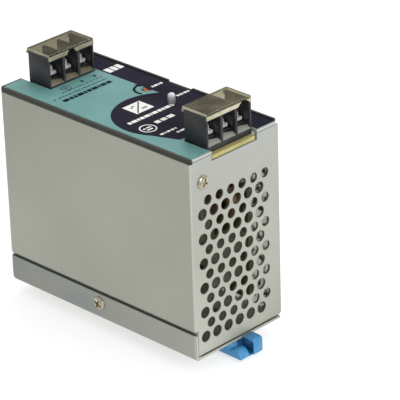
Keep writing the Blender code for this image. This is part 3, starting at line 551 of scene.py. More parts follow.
def block_plastic():
    """Moulded black barrier block with spark-eroded grain; its wire ramps are painted pale as a painted
    reflection, and its edges carry a painted highlight.
    """
    g = Graph("block_black")
    ny, nz = g.facing()[1:3]
    grain = g.noise(1500.0, 3.0)
    broad = g.between(g.noise(120.0, 3.0), 0.0, 1.0)
    # Painted reflection: the wire ramps pale grey on the near block, darker and browner on the far one.
    ramp = g.both(g.below(ny, -0.35), g.above(nz, 0.55))
    ramp_sheen = g.mix(g.above(g.axes()[1], 0.0), (0.215, 0.215, 0.185), (0.095, 0.078, 0.038))
    base = g.mix(broad, (0.009, 0.009, 0.011), (0.020, 0.020, 0.023))
    # Painted highlight on the edges of the block.
    base = g.mix(g.maths("MULTIPLY", g.edge_wear(0.30 * MM), 0.85), base, (0.10, 0.10, 0.105))
    g.set(
        Base_Color=g.mix(ramp, base, g.mix(broad, ramp_sheen, g.mix(0.3, ramp_sheen, (0.30, 0.29, 0.24)))),
        Roughness=g.between(grain, 0.34, 0.50),
        Specular_IOR_Level=0.38,
        Normal=g.bump(grain, 0.012 * MM, 1.0, g.soft_edges(0.3 * MM)),
    )
    return g.material


def cover_plastic():
    """Smoky clear cover: tinted and see-through on top, creamy on the lip with painted light, brown in the
    groove above it as painted shade, and the far cover darker with painted shade.
    """
    g = Graph("clear_cover")
    haze = g.noise(150.0, 3.0)
    broad = g.between(haze, 0.0, 1.0)
    z = g.axes()[2]
    across, along = g.facing()[0:2]
    front = g.below(along, -0.6)
    end = g.above(g.maths("ABSOLUTE", across), 0.6)
    low_front = g.maths("MAXIMUM", g.both(front, g.below(z, COVER_TOP - COVER_STEP)), end)
    base = g.mix(broad, (0.180, 0.158, 0.095), (0.280, 0.250, 0.165))
    # Painted shade: the front faces above the step brown, as shade in the groove over the lip.
    base = g.mix(front, base, (0.085, 0.070, 0.035))
    # The lip and ends creamy: the plastic's own tint, with painted light gathered in its edges.
    base = g.mix(low_front, base, g.mix(broad, (0.50, 0.47, 0.31), (0.68, 0.65, 0.50)))
    # Painted shade: the far cover darker, in its colour and in its see-through tint.
    far = g.above(g.axes()[1], 0.0)
    base = g.mix(g.maths("MULTIPLY", far, 0.45), base, (0.085, 0.072, 0.040))
    g.set(Base_Color=base, Roughness=g.between(haze, 0.30, 0.42), Specular_IOR_Level=0.35)
    tint = g.mix(far, (0.66, 0.645, 0.54), (0.50, 0.48, 0.385))
    clear = g.add("ShaderNodeBsdfTransparent", Color=tint)
    rim = g.maths("MULTIPLY", g.maths("MAXIMUM", front, end), 0.40)
    cloud = g.maths("ADD", g.between(haze, 0.22, 0.32), rim)
    blend = g.add("ShaderNodeMixShader", Fac=cloud)
    g.tree.links.new(clear.outputs[0], blend.inputs[1])
    g.tree.links.new(g.shader.outputs[0], blend.inputs[2])
    g.tree.links.new(blend.outputs[0], g.tree.nodes["Material Output"].inputs["Surface"])
    return g.material


def cover_edge():
    """The bright moulded rim of a cover, where the clear plastic gathers light."""
    g = Graph("cover_rim")
    g.set(
        Base_Color=g.mix(g.between(g.noise(260.0), 0.0, 1.0), (0.60, 0.57, 0.42), (0.90, 0.87, 0.74)),
        Roughness=0.3,
        Emission_Color=(0.85, 0.82, 0.66, 1.0),
        Emission_Strength=0.25,
    )
    return g.material


def latch_plastic():
    """Blue nylon, with a painted highlight on its moulded edges and painted shade down in the slot between the
    lobes.
    """
    g = Graph("latch_blue")
    x, y, z = g.axes()[0:3]
    grain = g.noise(800.0, 3.0)
    broad = g.between(g.noise(90.0, 3.0), 0.0, 1.0)
    base = g.mix(broad, (0.022, 0.175, 0.365), (0.040, 0.245, 0.465))
    # Painted highlight on the moulded edges.
    base = g.mix(g.maths("MULTIPLY", g.edge_wear(0.45 * MM), 0.55), base, (0.12, 0.38, 0.62))
    # Painted shade down in the slot between the lobes.
    between_lobes = g.both(g.above(x, -1.2 * MM), g.below(x, 0.95 * MM), g.below(z, 0.6 * MM))
    slot = g.both(between_lobes, g.below(y, -51.5 * MM), g.above(g.facing()[2], -0.5))
    g.set(
        Base_Color=g.mix(g.maths("MULTIPLY", slot, 0.85), base, (0.004, 0.030, 0.120)),
        Roughness=g.between(grain, 0.28, 0.42),
        Normal=g.bump(grain, 0.012 * MM, 1.0, g.soft_edges(0.4 * MM)),
        Coat_Weight=0.12,
        Coat_Roughness=0.2,
    )
    return g.material


def laminate(name, dark, light, fibre):
    """Circuit board: a woven core that shows faintly through the surface."""
    g = Graph(name)
    warp = g.add("ShaderNodeTexWave", {"bands_direction": "X"}, Vector=g.place, Scale=fibre, Distortion=0.6)
    weft = g.add("ShaderNodeTexWave", {"bands_direction": "Y"}, Vector=g.place, Scale=fibre, Distortion=0.6)
    weave = g.maths("MULTIPLY", warp.outputs[1], weft.outputs[1])
    patches = g.between(g.noise(110.0, 2.0), 0.0, 0.5)
    g.set(
        Base_Color=g.mix(g.maths("ADD", g.maths("MULTIPLY", weave, 0.5), patches), dark, light),
        Roughness=g.between(weave, 0.40, 0.58, 0.0, 1.0),
        Normal=g.bump(weave, 0.01 * MM, 0.5, g.soft_edges(0.15 * MM)),
    )
    return g.material


def wound(name, dark, light, bands, axis, metal, rough):
    """Turns of wire or layers of tape, as bands across a winding."""
    g = Graph(name)
    turns = g.add("ShaderNodeTexWave", {"bands_direction": axis}, Vector=g.place, Scale=bands, Distortion=0.4)
    shade = g.maths("ADD", g.maths("MULTIPLY", turns.outputs[1], 0.6), g.between(g.noise(300.0), 0.0, 0.4))
    g.set(
        Base_Color=g.mix(shade, dark, light),
        Metallic=metal,
        Roughness=g.between(turns.outputs[1], rough, rough + 0.15, 0.0, 1.0),
        Normal=g.bump(turns.outputs[1], 0.15 * MM, 0.8),
    )
    return g.material


def lens_plastic():
    """LED lens: milky above, darker where the die and its leads show through the base."""
    g = Graph("led_clear")
    z = g.axes()[2]
    low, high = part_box("status_led")
    up = g.between(z, 0.0, 1.0, low.z + 2.6 * MM, high.z - 0.6 * MM)
    cloud = g.between(g.noise(420.0, 3.0), 0.0, 0.25)
    g.set(
        Base_Color=g.mix(g.maths("SUBTRACT", up, cloud), (0.24, 0.24, 0.26), (0.78, 0.78, 0.80)),
        Roughness=g.between(g.noise(900.0), 0.08, 0.2),
        Transmission_Weight=0.12,
        Coat_Weight=0.8,
        Coat_Roughness=0.05,
    )
    return g.material


def paint_cad_nodes(finishes):
    """Gives each CAD node that stays the procedural finish of its slot."""
    for subpart in frame["record"]["subparts"]:
        obj = NODES[subpart["node"]]
        obj.data.materials.clear()
        plate = subpart["node"] in ("rail_hook", "latch_guide")
        obj.data.materials.append(finishes["zinc_plate" if plate else subpart["material_slot"]])
        obj.data.shade_smooth()
        obj.data.set_sharp_from_angle(angle=math.radians(32))


MATT = (0.6, 0.7)

FINISH = {
    "case_metal": case_metal(),
    "zinc_steel": zinc_steel(),
    "zinc_plate": zinc_steel("zinc_plate", (0.44, 0.42, 0.34), (0.56, 0.54, 0.47), (0.28, 0.40)),
    "bright_steel": bright_steel(),
    "label_teal": printed("label_teal", (0.112, 0.250, 0.232), (0.138, 0.290, 0.272)),
    "navy_ink": printed("navy_ink", (0.015, 0.013, 0.021), (0.024, 0.021, 0.032), MATT, 0.02),
    "white_ink": printed("white_ink", (0.66, 0.64, 0.60), (0.80, 0.78, 0.74)),
    "black_ink": printed("black_ink", (0.006, 0.010, 0.014), (0.014, 0.020, 0.024), MATT, 0.02),
    "block_black": block_plastic(),
    "clear_cover": cover_plastic(),
    "cover_rim": cover_edge(),
    "latch_blue": latch_plastic(),
    "board_yellow": laminate("board_yellow", (0.27, 0.225, 0.07), (0.50, 0.45, 0.20), 900.0),
    "board_green": laminate("board_green", (0.085, 0.080, 0.030), (0.180, 0.160, 0.080), 700.0),
    "ferrite": hidden("ferrite", (0.060, 0.055, 0.045), (0.130, 0.120, 0.100), 1600.0, 200.0, (0.5, 0.7)),
    "winding_tape": wound("winding_tape", (0.42, 0.27, 0.03), (0.66, 0.47, 0.09), 220.0, "Z", 0.0, 0.3),
    "copper": wound("copper", (0.10, 0.050, 0.020), (0.24, 0.130, 0.060), 420.0, "Y", 0.4, 0.35),
    "capacitor_sleeve": hidden("capacitor_sleeve", (0.030, 0.028, 0.022), (0.080, 0.072, 0.056)),
    "heat_sink": hidden("heat_sink", (0.20, 0.18, 0.12), (0.38, 0.35, 0.25), 1200.0, 80.0, (0.3, 0.5), 0.3),
    "device_black": hidden("device_black", (0.030, 0.028, 0.020), (0.075, 0.070, 0.055), 1300.0),
    "filter_box": grained("filter_box", (0.46, 0.36, 0.05), (0.66, 0.55, 0.14)),
    "ceramic_blue": grained("ceramic_blue", (0.05, 0.15, 0.36), (0.10, 0.26, 0.54)),
    "thermistor": grained("thermistor", (0.03, 0.08, 0.03), (0.07, 0.16, 0.07)),
    "fuse_glass": grained("fuse_glass", (0.50, 0.53, 0.52), (0.72, 0.74, 0.72), 400.0, 200.0, (0.05, 0.12)),
    "trimmer_blue": grained("trimmer_blue", (0.03, 0.09, 0.26), (0.06, 0.16, 0.40)),
    "trimmer_brass": grained(
        "trimmer_brass", (0.30, 0.055, 0.015), (0.55, 0.15, 0.05), 900.0, 300.0, (0.3, 0.45), 0.2
    ),
    "led_clear": lens_plastic(),
    "insulation": hidden("insulation", (0.16, 0.14, 0.07), (0.28, 0.25, 0.14), 2200.0),
    "nylon": grained("nylon", (0.66, 0.65, 0.60), (0.82, 0.81, 0.76)),
}
paint_cad_nodes(FINISH)


# ---- case


def build_chassis():
    """Floor, left flange and right side with smooth bends, standing for the CAD chassis."""
    corners = [(-EDGE_X, FLANGE_TOP), (-EDGE_X, PAD), (EDGE_X, PAD), (EDGE_X, CHASSIS_HIGH.z)]
    outline = sheet_outline(corners, BEND)
    chassis = mesh_object(
        "chassis_sheet", lambda bm: add_prism(bm, outline, "Y", CHASSIS_LOW.y, CHASSIS_HIGH.y)
    )
    join(
        chassis,
        lambda bm: add_box(bm, (-20 * MM, -15 * MM, CHASSIS_LOW.z), (20 * MM, 15 * MM, PAD + SHEET / 2)),
    )
    beyond = 5 * MM
    end = SHEET + GAP
    lip_low = FRONT_TOP - 0.1 * MM
    flange_at = middle_of("left_flange_screw")
    side_at = middle_of("right_side_screw")

    def openings(bm):
        for low, high in ((CHASSIS_LOW.y - beyond, LOW_Y + end), (HIGH_Y - end, HIGH_Y + beyond)):
            add_box(bm, (JOGGLE_X, low, -beyond), (EDGE_X + beyond, high, FRONT_TOP + beyond))
        gap = [
            (-7.0 * MM, CHASSIS_HIGH.z + beyond),
            (-6.2 * MM, lip_low),
            (7.0 * MM, lip_low),
            (7.8 * MM, CHASSIS_HIGH.z + beyond),
        ]
        add_prism(bm, gap, "X", JOGGLE_X, EDGE_X + beyond)
        outer = (-EDGE_X - MM, flange_at.y, flange_at.z)
        add_rod(bm, outer, (-JOGGLE_X, flange_at.y, flange_at.z), SCREW_HOLE)
        add_rod(bm, (JOGGLE_X, side_at.y, side_at.z), (EDGE_X + MM, side_at.y, side_at.z), SCREW_HOLE)
        for name in RIVETS:
            middle = middle_of(name)
            add_upright(bm, middle.x, middle.y, -MM, 3 * MM, RIVET_HOLE)
        radius = 2 * MM
        far = CHASSIS_HIGH.y
        rounding = arc((far - radius, PAD + radius), radius, 270, 360, 10)
        outside = [(far + MM, PAD + radius), (far + MM, -MM), (far - radius, -MM)]
        add_prism(bm, [*outside, *rounding], "X", -EDGE_X - MM, MM - EDGE_X)

    cut(chassis, openings)
    return piece(chassis, FINISH["case_metal"], "supply", "case_metal", "chassis")


def wrap_foot(bm):
    start = JOGGLE_X - SHEET / 2
    corner = arc((EDGE_X - 1.3 * MM, FOOT_Z + 1.3 * MM), 1.3 * MM, 270, 360, 8)
    outline = [(-start, WRAP_Z + SHEET), (-start, FOOT_Z), *corner, (EDGE_X, WRAP_Z + SHEET)]
    add_prism(bm, outline, "Y", LOW_Y, LOW_Y + SHEET)
    add_prism(bm, outline, "Y", HIGH_Y - SHEET, HIGH_Y)
    low, high = LOW_Y + SHEET / 2, HIGH_Y - SHEET / 2
    add_box(bm, (-JOGGLE_X, low, FOOT_Z), (SHEET - JOGGLE_X, high, WRAP_Z + 1.5 * SHEET))
    step_z = WRAP_Z + 0.1 * MM
    add_box(bm, (SHEET / 2 - EDGE_X, low, step_z), (SHEET / 2 - JOGGLE_X, high, step_z + SHEET))


def wrap_front(bm):
    """The front, bent over from the left side, with its screw tabs."""
    centre = (FRONT_BEND - EDGE_X, FRONT_TOP - FRONT_BEND)
    over_ends = [
        (JOGGLE_X, FRONT_Z),
        (JOGGLE_X, FRONT_TOP),
        *arc(centre, FRONT_BEND, 90, 157.5, 6),
        (SHEET / 2 - EDGE_X, FRONT_Z),
    ]
    add_prism(bm, over_ends, "Y", LOW_Y, HIGH_Y)
    corners = [(0, FRONT_TOP), (-EDGE_X, FRONT_TOP), (-EDGE_X, FRONT_Z - 2 * SHEET)]
    bend = sheet_outline(corners, FRONT_BEND)
    add_prism(bm, bend, "Y", LOW_Y + BEND + 0.1 * MM, HIGH_Y - BEND - 0.1 * MM)
    root = FRONT_Z + SHEET / 2
    screw = middle_of("lower_end_screw")
    for inside, way in ((LOW_Y + SHEET + GAP, 1), (HIGH_Y - SHEET - GAP, -1)):
        low, high = sorted((inside, inside + way * SHEET))
        add_box(bm, (screw.x - 3.2 * MM, low, screw.z - 3.4 * MM), (screw.x + 3.2 * MM, high, root))
    side = middle_of("right_side_screw")
    low = (JOGGLE_X - SHEET, side.y - 5 * MM, side.z - 3.4 * MM)
    add_box(bm, low, (JOGGLE_X, side.y + 5 * MM, root))


def wrap_openings(bm):
    """Block notches, and the holes for the screws and the two controls."""
    above = FRONT_TOP + 5 * MM
    side = NOTCH_HALF_WIDTH
    below = BOARD_LOW.z - GAP
    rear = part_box("output_block")[0].y + BLOCK_DEPTH + 0.6 * MM
    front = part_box("input_block")[0].y - 0.5 * MM
    add_box(bm, (-side, LOW_Y - SHEET, below), (side, rear, above))
    add_box(bm, (-side, front, below), (side, HIGH_Y + SHEET, above))
    for node in CONTROLS:
        middle = middle_of(node)
        add_upright(bm, middle.x, middle.y, FRONT_Z - MM, above, CONTROL_HOLE)
    for node, y in (("lower_end_screw", LOW_Y), ("upper_end_screw", HIGH_Y)):
        middle = middle_of(node)
        add_rod(bm, (middle.x, y - 4 * MM, middle.z), (middle.x, y + 4 * MM, middle.z), SCREW_HOLE)
    middle = middle_of("left_flange_screw")
    add_rod(bm, (-EDGE_X - MM, middle.y, middle.z), (MM - JOGGLE_X, middle.y, middle.z), SCREW_HOLE)
    middle = middle_of("right_side_screw")
    add_rod(bm, (JOGGLE_X - 2 * MM, middle.y, middle.z), (EDGE_X, middle.y, middle.z), SCREW_HOLE)


def add_vents(bm, y):
    for row in range(VENT_ROWS):
        small = row % 2 == 0
        radius = VENT_RADII[0 if small else 1]
        z = VENT_FIRST_Z - row * VENT_ROW_PITCH
        for column in range(VENT_COLUMNS):
            x = VENT_FIRST_X + (column + (0.5 if small else 0.0)) * VENT_PITCH
            add_rod(bm, (x, y - 2 * SHEET, z), (x, y + 2 * SHEET, z), radius, VENT_SIDES)


def far_corner(bm):
    """What is outside the rounded far left corner, seen from the front."""
    turn_x, turn_y = FAR_CORNER - EDGE_X, HIGH_Y - FAR_CORNER
    rounding = arc((turn_x, turn_y), FAR_CORNER, 90, 180, 16)
    outside = [(-EDGE_X - MM, turn_y), (-EDGE_X - MM, HIGH_Y + MM), (turn_x, HIGH_Y + MM)]
    add_prism(bm, [*rounding, *outside], "Z", WRAP_Z - GAP, FRONT_TOP + MM)


def build_wrap():
    """Left side, perforated ends and front, with round vents and smooth bends."""
    plan = [(EDGE_X, HIGH_Y), (-EDGE_X, HIGH_Y), (-EDGE_X, LOW_Y), (EDGE_X, LOW_Y)]
    outline = sheet_outline(plan, BEND)
    wrap = mesh_object("case_shell", lambda bm: add_prism(bm, outline, "Z", WRAP_Z, END_TOP))
    join(wrap, wrap_foot)
    join(wrap, wrap_front)
    cut(wrap, far_corner)
    cut(wrap, wrap_openings)
    cut(wrap, lambda bm: add_vents(bm, LOW_Y))
    cut(wrap, lambda bm: add_vents(bm, HIGH_Y))
    return piece(wrap, FINISH["case_metal"], "supply", "case_metal", "case_wrap")


# ---- label print

INK = 0.02 * MM


def build_label():
    """Printed film with a rounded far corner, cut out round the blocks and the controls."""
    low, high = LABEL_LOW, LABEL_HIGH
    corner = arc((low.x + FAR_CORNER, high.y - FAR_CORNER), FAR_CORNER, 90, 180, 16)
    outline = [*corner, (low.x, low.y), (high.x, low.y), (high.x, high.y)]
    film = mesh_object("label_film", lambda bm: add_prism(bm, outline, "Z", low.z, high.z))

    def openings(bm):
        side = NOTCH_HALF_WIDTH + 0.3 * MM
        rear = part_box("output_block")[0].y + BLOCK_DEPTH + 1.2 * MM
        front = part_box("input_block")[0].y - 0.8 * MM
        below, above = low.z - SHEET, high.z + SHEET
        add_box(bm, (-side, LOW_Y - SHEET, below), (side, rear, above))
        add_box(bm, (-side, front, below), (side, HIGH_Y + SHEET, above))
        for node in CONTROLS:
            middle = middle_of(node)
            add_upright(bm, middle.x, middle.y, below, above, CONTROL_HOLE + 0.1 * MM, 48)

    cut(film, openings)
    return piece(film, FINISH["label_teal"], "supply", "label_teal", "front_label")


def rectangle(x, y, width, height):
    """An outline centred on a point; sizes in mm."""
    w, h = width / 2, height / 2
    return [(x - w, y - h), (x + w, y - h), (x + w, y + h), (x - w, y + h)]


def stroke(points, width):
    """The outline of a line of even width along a path; in mm."""
    left = offset_path(points, width / 2)
    right = offset_path(points, -width / 2)
    return [*left, *reversed(right)]


def bars(x, y, length, height, count, gap=0.5, uneven=0.5):
    """A row of blocks of uneven length that stands for a line of print."""
    weights = [1.0 + uneven * math.sin(2.3 * k + length) for k in range(count)]
    ink = length - gap * (count - 1)
    row = []
    for weight in weights:
        width = ink * weight / sum(weights)
        row.append(rectangle(x + width / 2, y, width, height))
        x += width + gap
    return row


def print_on_label(name, ink, outlines, level):
    """Closed thin shapes of ink on the label, in layers that don't touch."""
    low = PRINT_Z + level * INK + 0.002 * MM

    def build(bm):
        for outline in outlines:
            add_prism(bm, [(x * MM, y * MM) for x, y in outline], "Z", low, low + INK * 0.8)

    obj = mesh_object(name, build)
    return piece(obj, FINISH[ink], "supply", "label_teal")


def navy_outline():
    """Right hand strip, swelling into a disc behind the output block and running round that block."""
    left, right = 13.2, LABEL_HIGH.x / MM
    low, high = LABEL_LOW.y / MM, LABEL_HIGH.y / MM
    centre, radius = (-0.2, -14.0), 20.6
    meet = math.degrees(math.acos((left - centre[0]) / radius))
    notch_x = 13.3
    notch_y = (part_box("output_block")[0].y + BLOCK_DEPTH) / MM + 1.7
    return [
        (left, high),
        *arc(centre, radius, meet, 212, 60),
        (-notch_x, notch_y - 0.2),
        (notch_x, notch_y - 0.2),
        (notch_x, low),
        (right, low),
        (right, high),
    ]


def converter_symbol(x, y, size):
    """The marks of the general sign of a converter inside its square: a diagonal, a wave above it and a bar
    below.
    """
    h = size / 2
    wave_x, wave_y = x - 0.42 * h, y + 0.45 * h
    along = [k / 8 - 1 for k in range(17)]
    wave = [(wave_x + 0.36 * h * t, wave_y + 0.17 * h * math.sin(math.pi * t)) for t in along]
    diagonal = stroke([(x - h, y - h), (x + h, y + h)], 0.55)
    bar = rectangle(x + 0.42 * h, y - 0.40 * h, 0.75 * h, 0.45)
    bar_low = rectangle(x + 0.42 * h, y - 0.62 * h, 0.75 * h, 0.45)
    return [diagonal, stroke(wave, 0.45), bar, bar_low]


def earth_symbol(x, y, size):
    """The sign of an earth terminal."""
    return [
        rectangle(x, y + 0.55 * size, 0.2, 0.9 * size),
        rectangle(x, y + 0.1 * size, 1.3 * size, 0.2),
        rectangle(x, y - 0.2 * size, 0.85 * size, 0.2),
        rectangle(x, y - 0.5 * size, 0.4 * size, 0.2),
    ]


def ring(x, y, radius, width):
    """Two half rings, which together look like one."""
    halves = []
    for start in (0, 180):
        outer = arc((x, y), radius, start, start + 180, 24)
        inner = arc((x, y), radius - width, start + 180, start, 24)
        halves.append([*outer, *inner])
    return halves


def build_print():
    print_on_label("label_navy_area", "navy_ink", [navy_outline()], 0)
    white = [
        rectangle(-2.4, -2.2, 9.4, 8.6),
        *bars(-16.0, -10.6, 24.7, 1.9, 11, 0.45),
        *bars(-8.2, -17.6, 10.0, 2.3, 3, 0.8, 0.2),
        *ring(-13.8, -19.2, 3.6, 0.55),
        *bars(-15.9, -18.6, 4.2, 0.9, 2, 0.5),
        *bars(-15.3, -20.3, 3.0, 0.9, 1),
        *bars(-14.8, -27.0, 8.6, 1.2, 5, 0.5),
        *bars(-9.0, -30.2, 4.6, 1.2, 2, 0.5),
        *bars(14.2, 32.8, 8.2, 4.2, 3, 0.6, 0.1),
        *bars(15.2, 7.8, 5.8, 1.4, 4, 0.4),
        *bars(15.4, -6.0, 6.8, 1.3, 5, 0.4),
    ]
    print_on_label("label_white_marks", "white_ink", white, 1)
    print_on_label("label_symbol", "navy_ink", converter_symbol(-2.4, -2.2, 7.6), 2)
    black = [
        *bars(-17.6, 24.4, 26.2, 2.2, 10, 0.45),
        *bars(-17.0, 27.8, 26.4, 0.6, 16, 0.45),
        *bars(-12.5, 30.6, 22.0, 0.5, 12, 0.6),
        rectangle(-19.0, 27.8, 0.8, 0.8),
        *earth_symbol(-8.0, 33.0, 1.5),
        *ring(-8.0, 33.0, 2.1, 0.3),
        rectangle(1.0, 33.3, 1.2, 1.6),
        rectangle(8.0, 33.3, 1.2, 1.6),
        stroke(arc((12.4, 8.0), 5.0, 205, 85, 20), 1.15),
        [(11.9, 14.9), (12.4, 11.2), (14.5, 12.9)],
    ]
    print_on_label("label_black_marks", "black_ink", black, 1)


# ---- terminals


def pole_x(pole):
    return (pole - 1) * POLE_PITCH


def build_block(side):
    """Barrier block with softened edges, ramped compartment floors and its cover pins."""
    name = f"{side}_block"
    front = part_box(name)[0].y
    rear = front + BLOCK_DEPTH
    wide = BLOCK_HALF_WIDTH
    cover_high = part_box(f"{side}_cover")[1]
    lip_inside = front + 0.65 * MM
    body = mesh_object(
        name + "_body", lambda bm: add_box(bm, (-wide, front, BLOCK_BASE), (wide, rear, BLOCK_TOP))
    )
    half = (POLE_PITCH - DIVIDER) / 2
    wall = rear - 1.2 * MM
    outline = [
        (front - MM, BLOCK_FLOOR - 2.4 * MM),
        (front + 2.6 * MM, BLOCK_FLOOR - 0.1 * MM),
        (front + 3.9 * MM, BLOCK_FLOOR - 0.1 * MM),
        (front + 3.9 * MM, BLOCK_FLOOR),
        (wall, BLOCK_FLOOR),
        (wall, BLOCK_TOP + MM),
        (front - MM, BLOCK_TOP + MM),
    ]

    def compartments(bm):
        for pole in range(3):
            add_prism(bm, outline, "X", pole_x(pole) - half, pole_x(pole) + half)

    cut(body, compartments)
    rebate = cover_high.z - 2.9 * MM
    beyond = wide + MM
    cut(body, lambda bm: add_box(bm, (-beyond, front - MM, rebate), (beyond, lip_inside, BLOCK_TOP + MM)))

    def bores(bm):
        for pole in range(3):
            y = front + BORE_FROM_FRONT
            add_upright(bm, pole_x(pole), y, BLOCK_BASE + 0.8 * MM, BLOCK_FLOOR + MM, 1.8 * MM)

    cut(body, bores)

    def windows(bm):
        """Openings in the top of the rear wall, clear of the lugs."""
        beside_lug = 10.3 * MM
        for pole in range(3):
            low = max(pole_x(pole) - half, -beside_lug)
            high = min(pole_x(pole) + half, beside_lug)
            add_box(bm, (low, wall - MM, REAR_WINDOW_Z), (high, rear + MM, BLOCK_TOP + MM))

    cut(body, windows)
    pivot_y, pivot_z = rear + HINGE_BEHIND, HINGE_Z

    def lugs(bm):
        for way in (-1, 1):
            inner, outer = sorted((way * 10.6 * MM, way * 11.4 * MM))
            top_corner = (outer, pivot_y + 0.45 * MM, pivot_z + 0.4 * MM)
            add_box(bm, (inner, rear - 0.4 * MM, pivot_z - 0.8 * MM), top_corner)

    join(body, lugs)
    soften(body, 0.18 * MM, 2)

    def pins(bm):
        for way in (-1, 1):
            add_rod(bm, (way * 11.1 * MM, pivot_y, pivot_z), (way * 12.1 * MM, pivot_y, pivot_z), 0.3 * MM)

    join(body, pins)
    return piece(body, FINISH["block_black"], "supply", "block_black", name)


def build_cover(side, notch_pole, notch_width, notch_height):
    """Clear flip cover: rounded top and lip with a finger notch, and an ear round each pin."""
    node = f"{side}_cover"
    low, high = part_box(node)
    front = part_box(f"{side}_block")[0].y
    wide = high.x
    pivot_y, pivot_z = front + BLOCK_DEPTH + HINGE_BEHIND, HINGE_Z
    wall = 1.0 * MM
    lip_z = high.z - 2.6 * MM
    lip_in = front + 0.35 * MM
    outline = [
        (low.y, lip_z),
        (lip_in, lip_z),
        (lip_in, high.z - wall),
        (pivot_y + 0.05 * MM, high.z - wall),
        (pivot_y + 0.05 * MM, high.z),
        (low.y + 0.3 * MM, high.z),
        (low.y + 0.3 * MM, high.z - COVER_STEP),
        (low.y, high.z - COVER_STEP),
    ]
    cover = mesh_object(node + "_shell", lambda bm: add_prism(bm, outline, "X", -wide, wide))
    half = notch_width / 2
    radius = (half**2 + notch_height**2) / (2 * notch_height)
    x, z = pole_x(notch_pole), lip_z + notch_height - radius
    cut(cover, lambda bm: add_rod(bm, (x, low.y - MM, z), (x, lip_in + 0.2 * MM, z), radius, 64))
    give(cover, FINISH["clear_cover"], FINISH["cover_rim"])
    soften(cover, 0.40 * MM, 3, finish=1)

    def ears(bm):
        for way in (-1, 1):
            inner, outer = sorted((way * 11.65 * MM, way * 12.18 * MM))
            bow = arc((pivot_y, pivot_z), 0.6 * MM, 180, 360, 20)
            top = high.z - wall / 2
            ear = [*bow, (pivot_y, pivot_z + 0.6 * MM), (pivot_y, top), (pivot_y - 0.6 * MM, top)]
            add_prism(bm, ear, "X", inner, outer)

    join(cover, ears)

    def pin_holes(bm):
        for way in (-1, 1):
            start = (way * 11.2 * MM, pivot_y, pivot_z)
            add_rod(bm, start, (way * 13.0 * MM, pivot_y, pivot_z), 0.42 * MM)

    cut(cover, pin_holes)
    return piece(cover, (FINISH["clear_cover"], FINISH["cover_rim"]), node, "clear_cover", node)


def build_clamp(node):
    """Wire clamp: a square plate with softened edges, a hole through it and a groove for the wire."""
    low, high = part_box(node)
    middle = (low + high) / 2
    clamp = mesh_object(node + "_plate", lambda bm: add_box(bm, low, high))
    groove = [(x, middle.y, low.z - 0.5 * MM) for x in (low.x - MM, high.x + MM)]
    cut(clamp, lambda bm: add_rod(bm, *groove, 0.9 * MM))
    cut(clamp, lambda bm: add_upright(bm, middle.x, middle.y, low.z - MM, high.z + MM, 1.8 * MM))
    soften(clamp, 0.22 * MM, 2)
    return piece(clamp, FINISH["bright_steel"], node, "zinc_steel", node)


def build_terminal_screw(node):
    """Slotted cheese head with a rounded rim, on its shank."""
    low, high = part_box(node)
    x, y = (low.x + high.x) / 2, (low.y + high.y) / 2
    head = (high.x - low.x) / 2
    seat = high.z - 2.0 * MM
    rim = arc((head - 0.5 * MM, high.z - 0.5 * MM), 0.5 * MM, 0, 90, 6)
    profile = [
        (0.0, low.z),
        (1.2 * MM, low.z),
        (1.5 * MM, low.z + 0.3 * MM),
        (1.5 * MM, seat),
        (head - 0.1 * MM, seat),
        (head, seat + 0.1 * MM),
        *rim,
        (0.0, high.z),
    ]
    screw = mesh_object(node + "_turned", lambda bm: add_turned(bm, profile, (x, y, 0), (0, 0, 1)))
    slot_low = (x - 4 * MM, y - 0.4 * MM, high.z - 0.9 * MM)
    cut(screw, lambda bm: add_box(bm, slot_low, (x + 4 * MM, y + 0.4 * MM, high.z + MM)))
    return piece(screw, FINISH["bright_steel"], node, "zinc_steel", node)


def build_terminals():
    for side, notch in (("input", (1, 5.0 * MM, 2.0 * MM)), ("output", (2, 6.6 * MM, 1.8 * MM))):
        build_block(side)
        build_cover(side, *notch)
        for pole in (1, 2, 3):
            build_clamp(f"{side}_clamp_{pole}")
            build_terminal_screw(f"{side}_screw_{pole}")


# ---- screws, latch and controls


def build_case_screw(node, outward):
    """Pan head case screw with a domed head and a cross recess."""
    low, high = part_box(node)
    middle = (low + high) / 2
    outward = Vector(outward)
    tip = max((low - middle).dot(outward), (high - middle).dot(outward))
    seat = middle + outward * (tip - 1.1 * MM)
    dome = [(r, 0.25 * MM + height) for r, height in quarter(2.9 * MM, 0.95 * MM, 10)]
    profile = [
        (0.0, -3.0 * MM),
        (1.5 * MM, -3.0 * MM),
        (1.5 * MM, 0.0),
        (2.9 * MM, 0.0),
        *dome[:-1],
        (0.0, 1.2 * MM),
    ]
    screw = mesh_object(node + "_turned", lambda bm: add_turned(bm, profile, seat, outward))
    side = outward.orthogonal().normalized()
    across = outward.cross(side).normalized()
    turn = math.radians(20)
    first = side * math.cos(turn) + across * math.sin(turn)
    second = outward.cross(first).normalized()
    for along, other in ((first, second), (second, first)):

        def slot(bm, along=along, other=other):
            basis = Matrix((along, other, outward)).transposed().to_4x4()
            place = Matrix.Translation(seat + outward * 1.0 * MM) @ basis
            size = Matrix.Diagonal((3.7 * MM, 0.85 * MM, 1.7 * MM, 1.0))
            bmesh.ops.create_cube(bm, size=1.0, matrix=place @ size)

        cut(screw, slot)
    return piece(screw, FINISH["zinc_steel"], "supply", "zinc_steel", node)


def build_rivet(node):
    """Domed rivet head under the floor, on its shank."""
    low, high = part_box(node)
    x, y = (low.x + high.x) / 2, (low.y + high.y) / 2
    radius = (high.x - low.x) / 2
    dome = [(r, low.z + 0.7 * MM - height) for r, height in quarter(radius, 0.7 * MM, 8)]
    shank = [(1.2 * MM, low.z + 0.72 * MM), (1.2 * MM, high.z), (0.0, high.z)]
    profile = [(0.0, low.z), *reversed(dome[:-1]), *shank]
    rivet = mesh_object(node + "_turned", lambda bm: add_turned(bm, profile, (x, y, 0), (0, 0, 1), 28))
    return piece(rivet, FINISH["zinc_steel"], "supply", "zinc_steel", node)


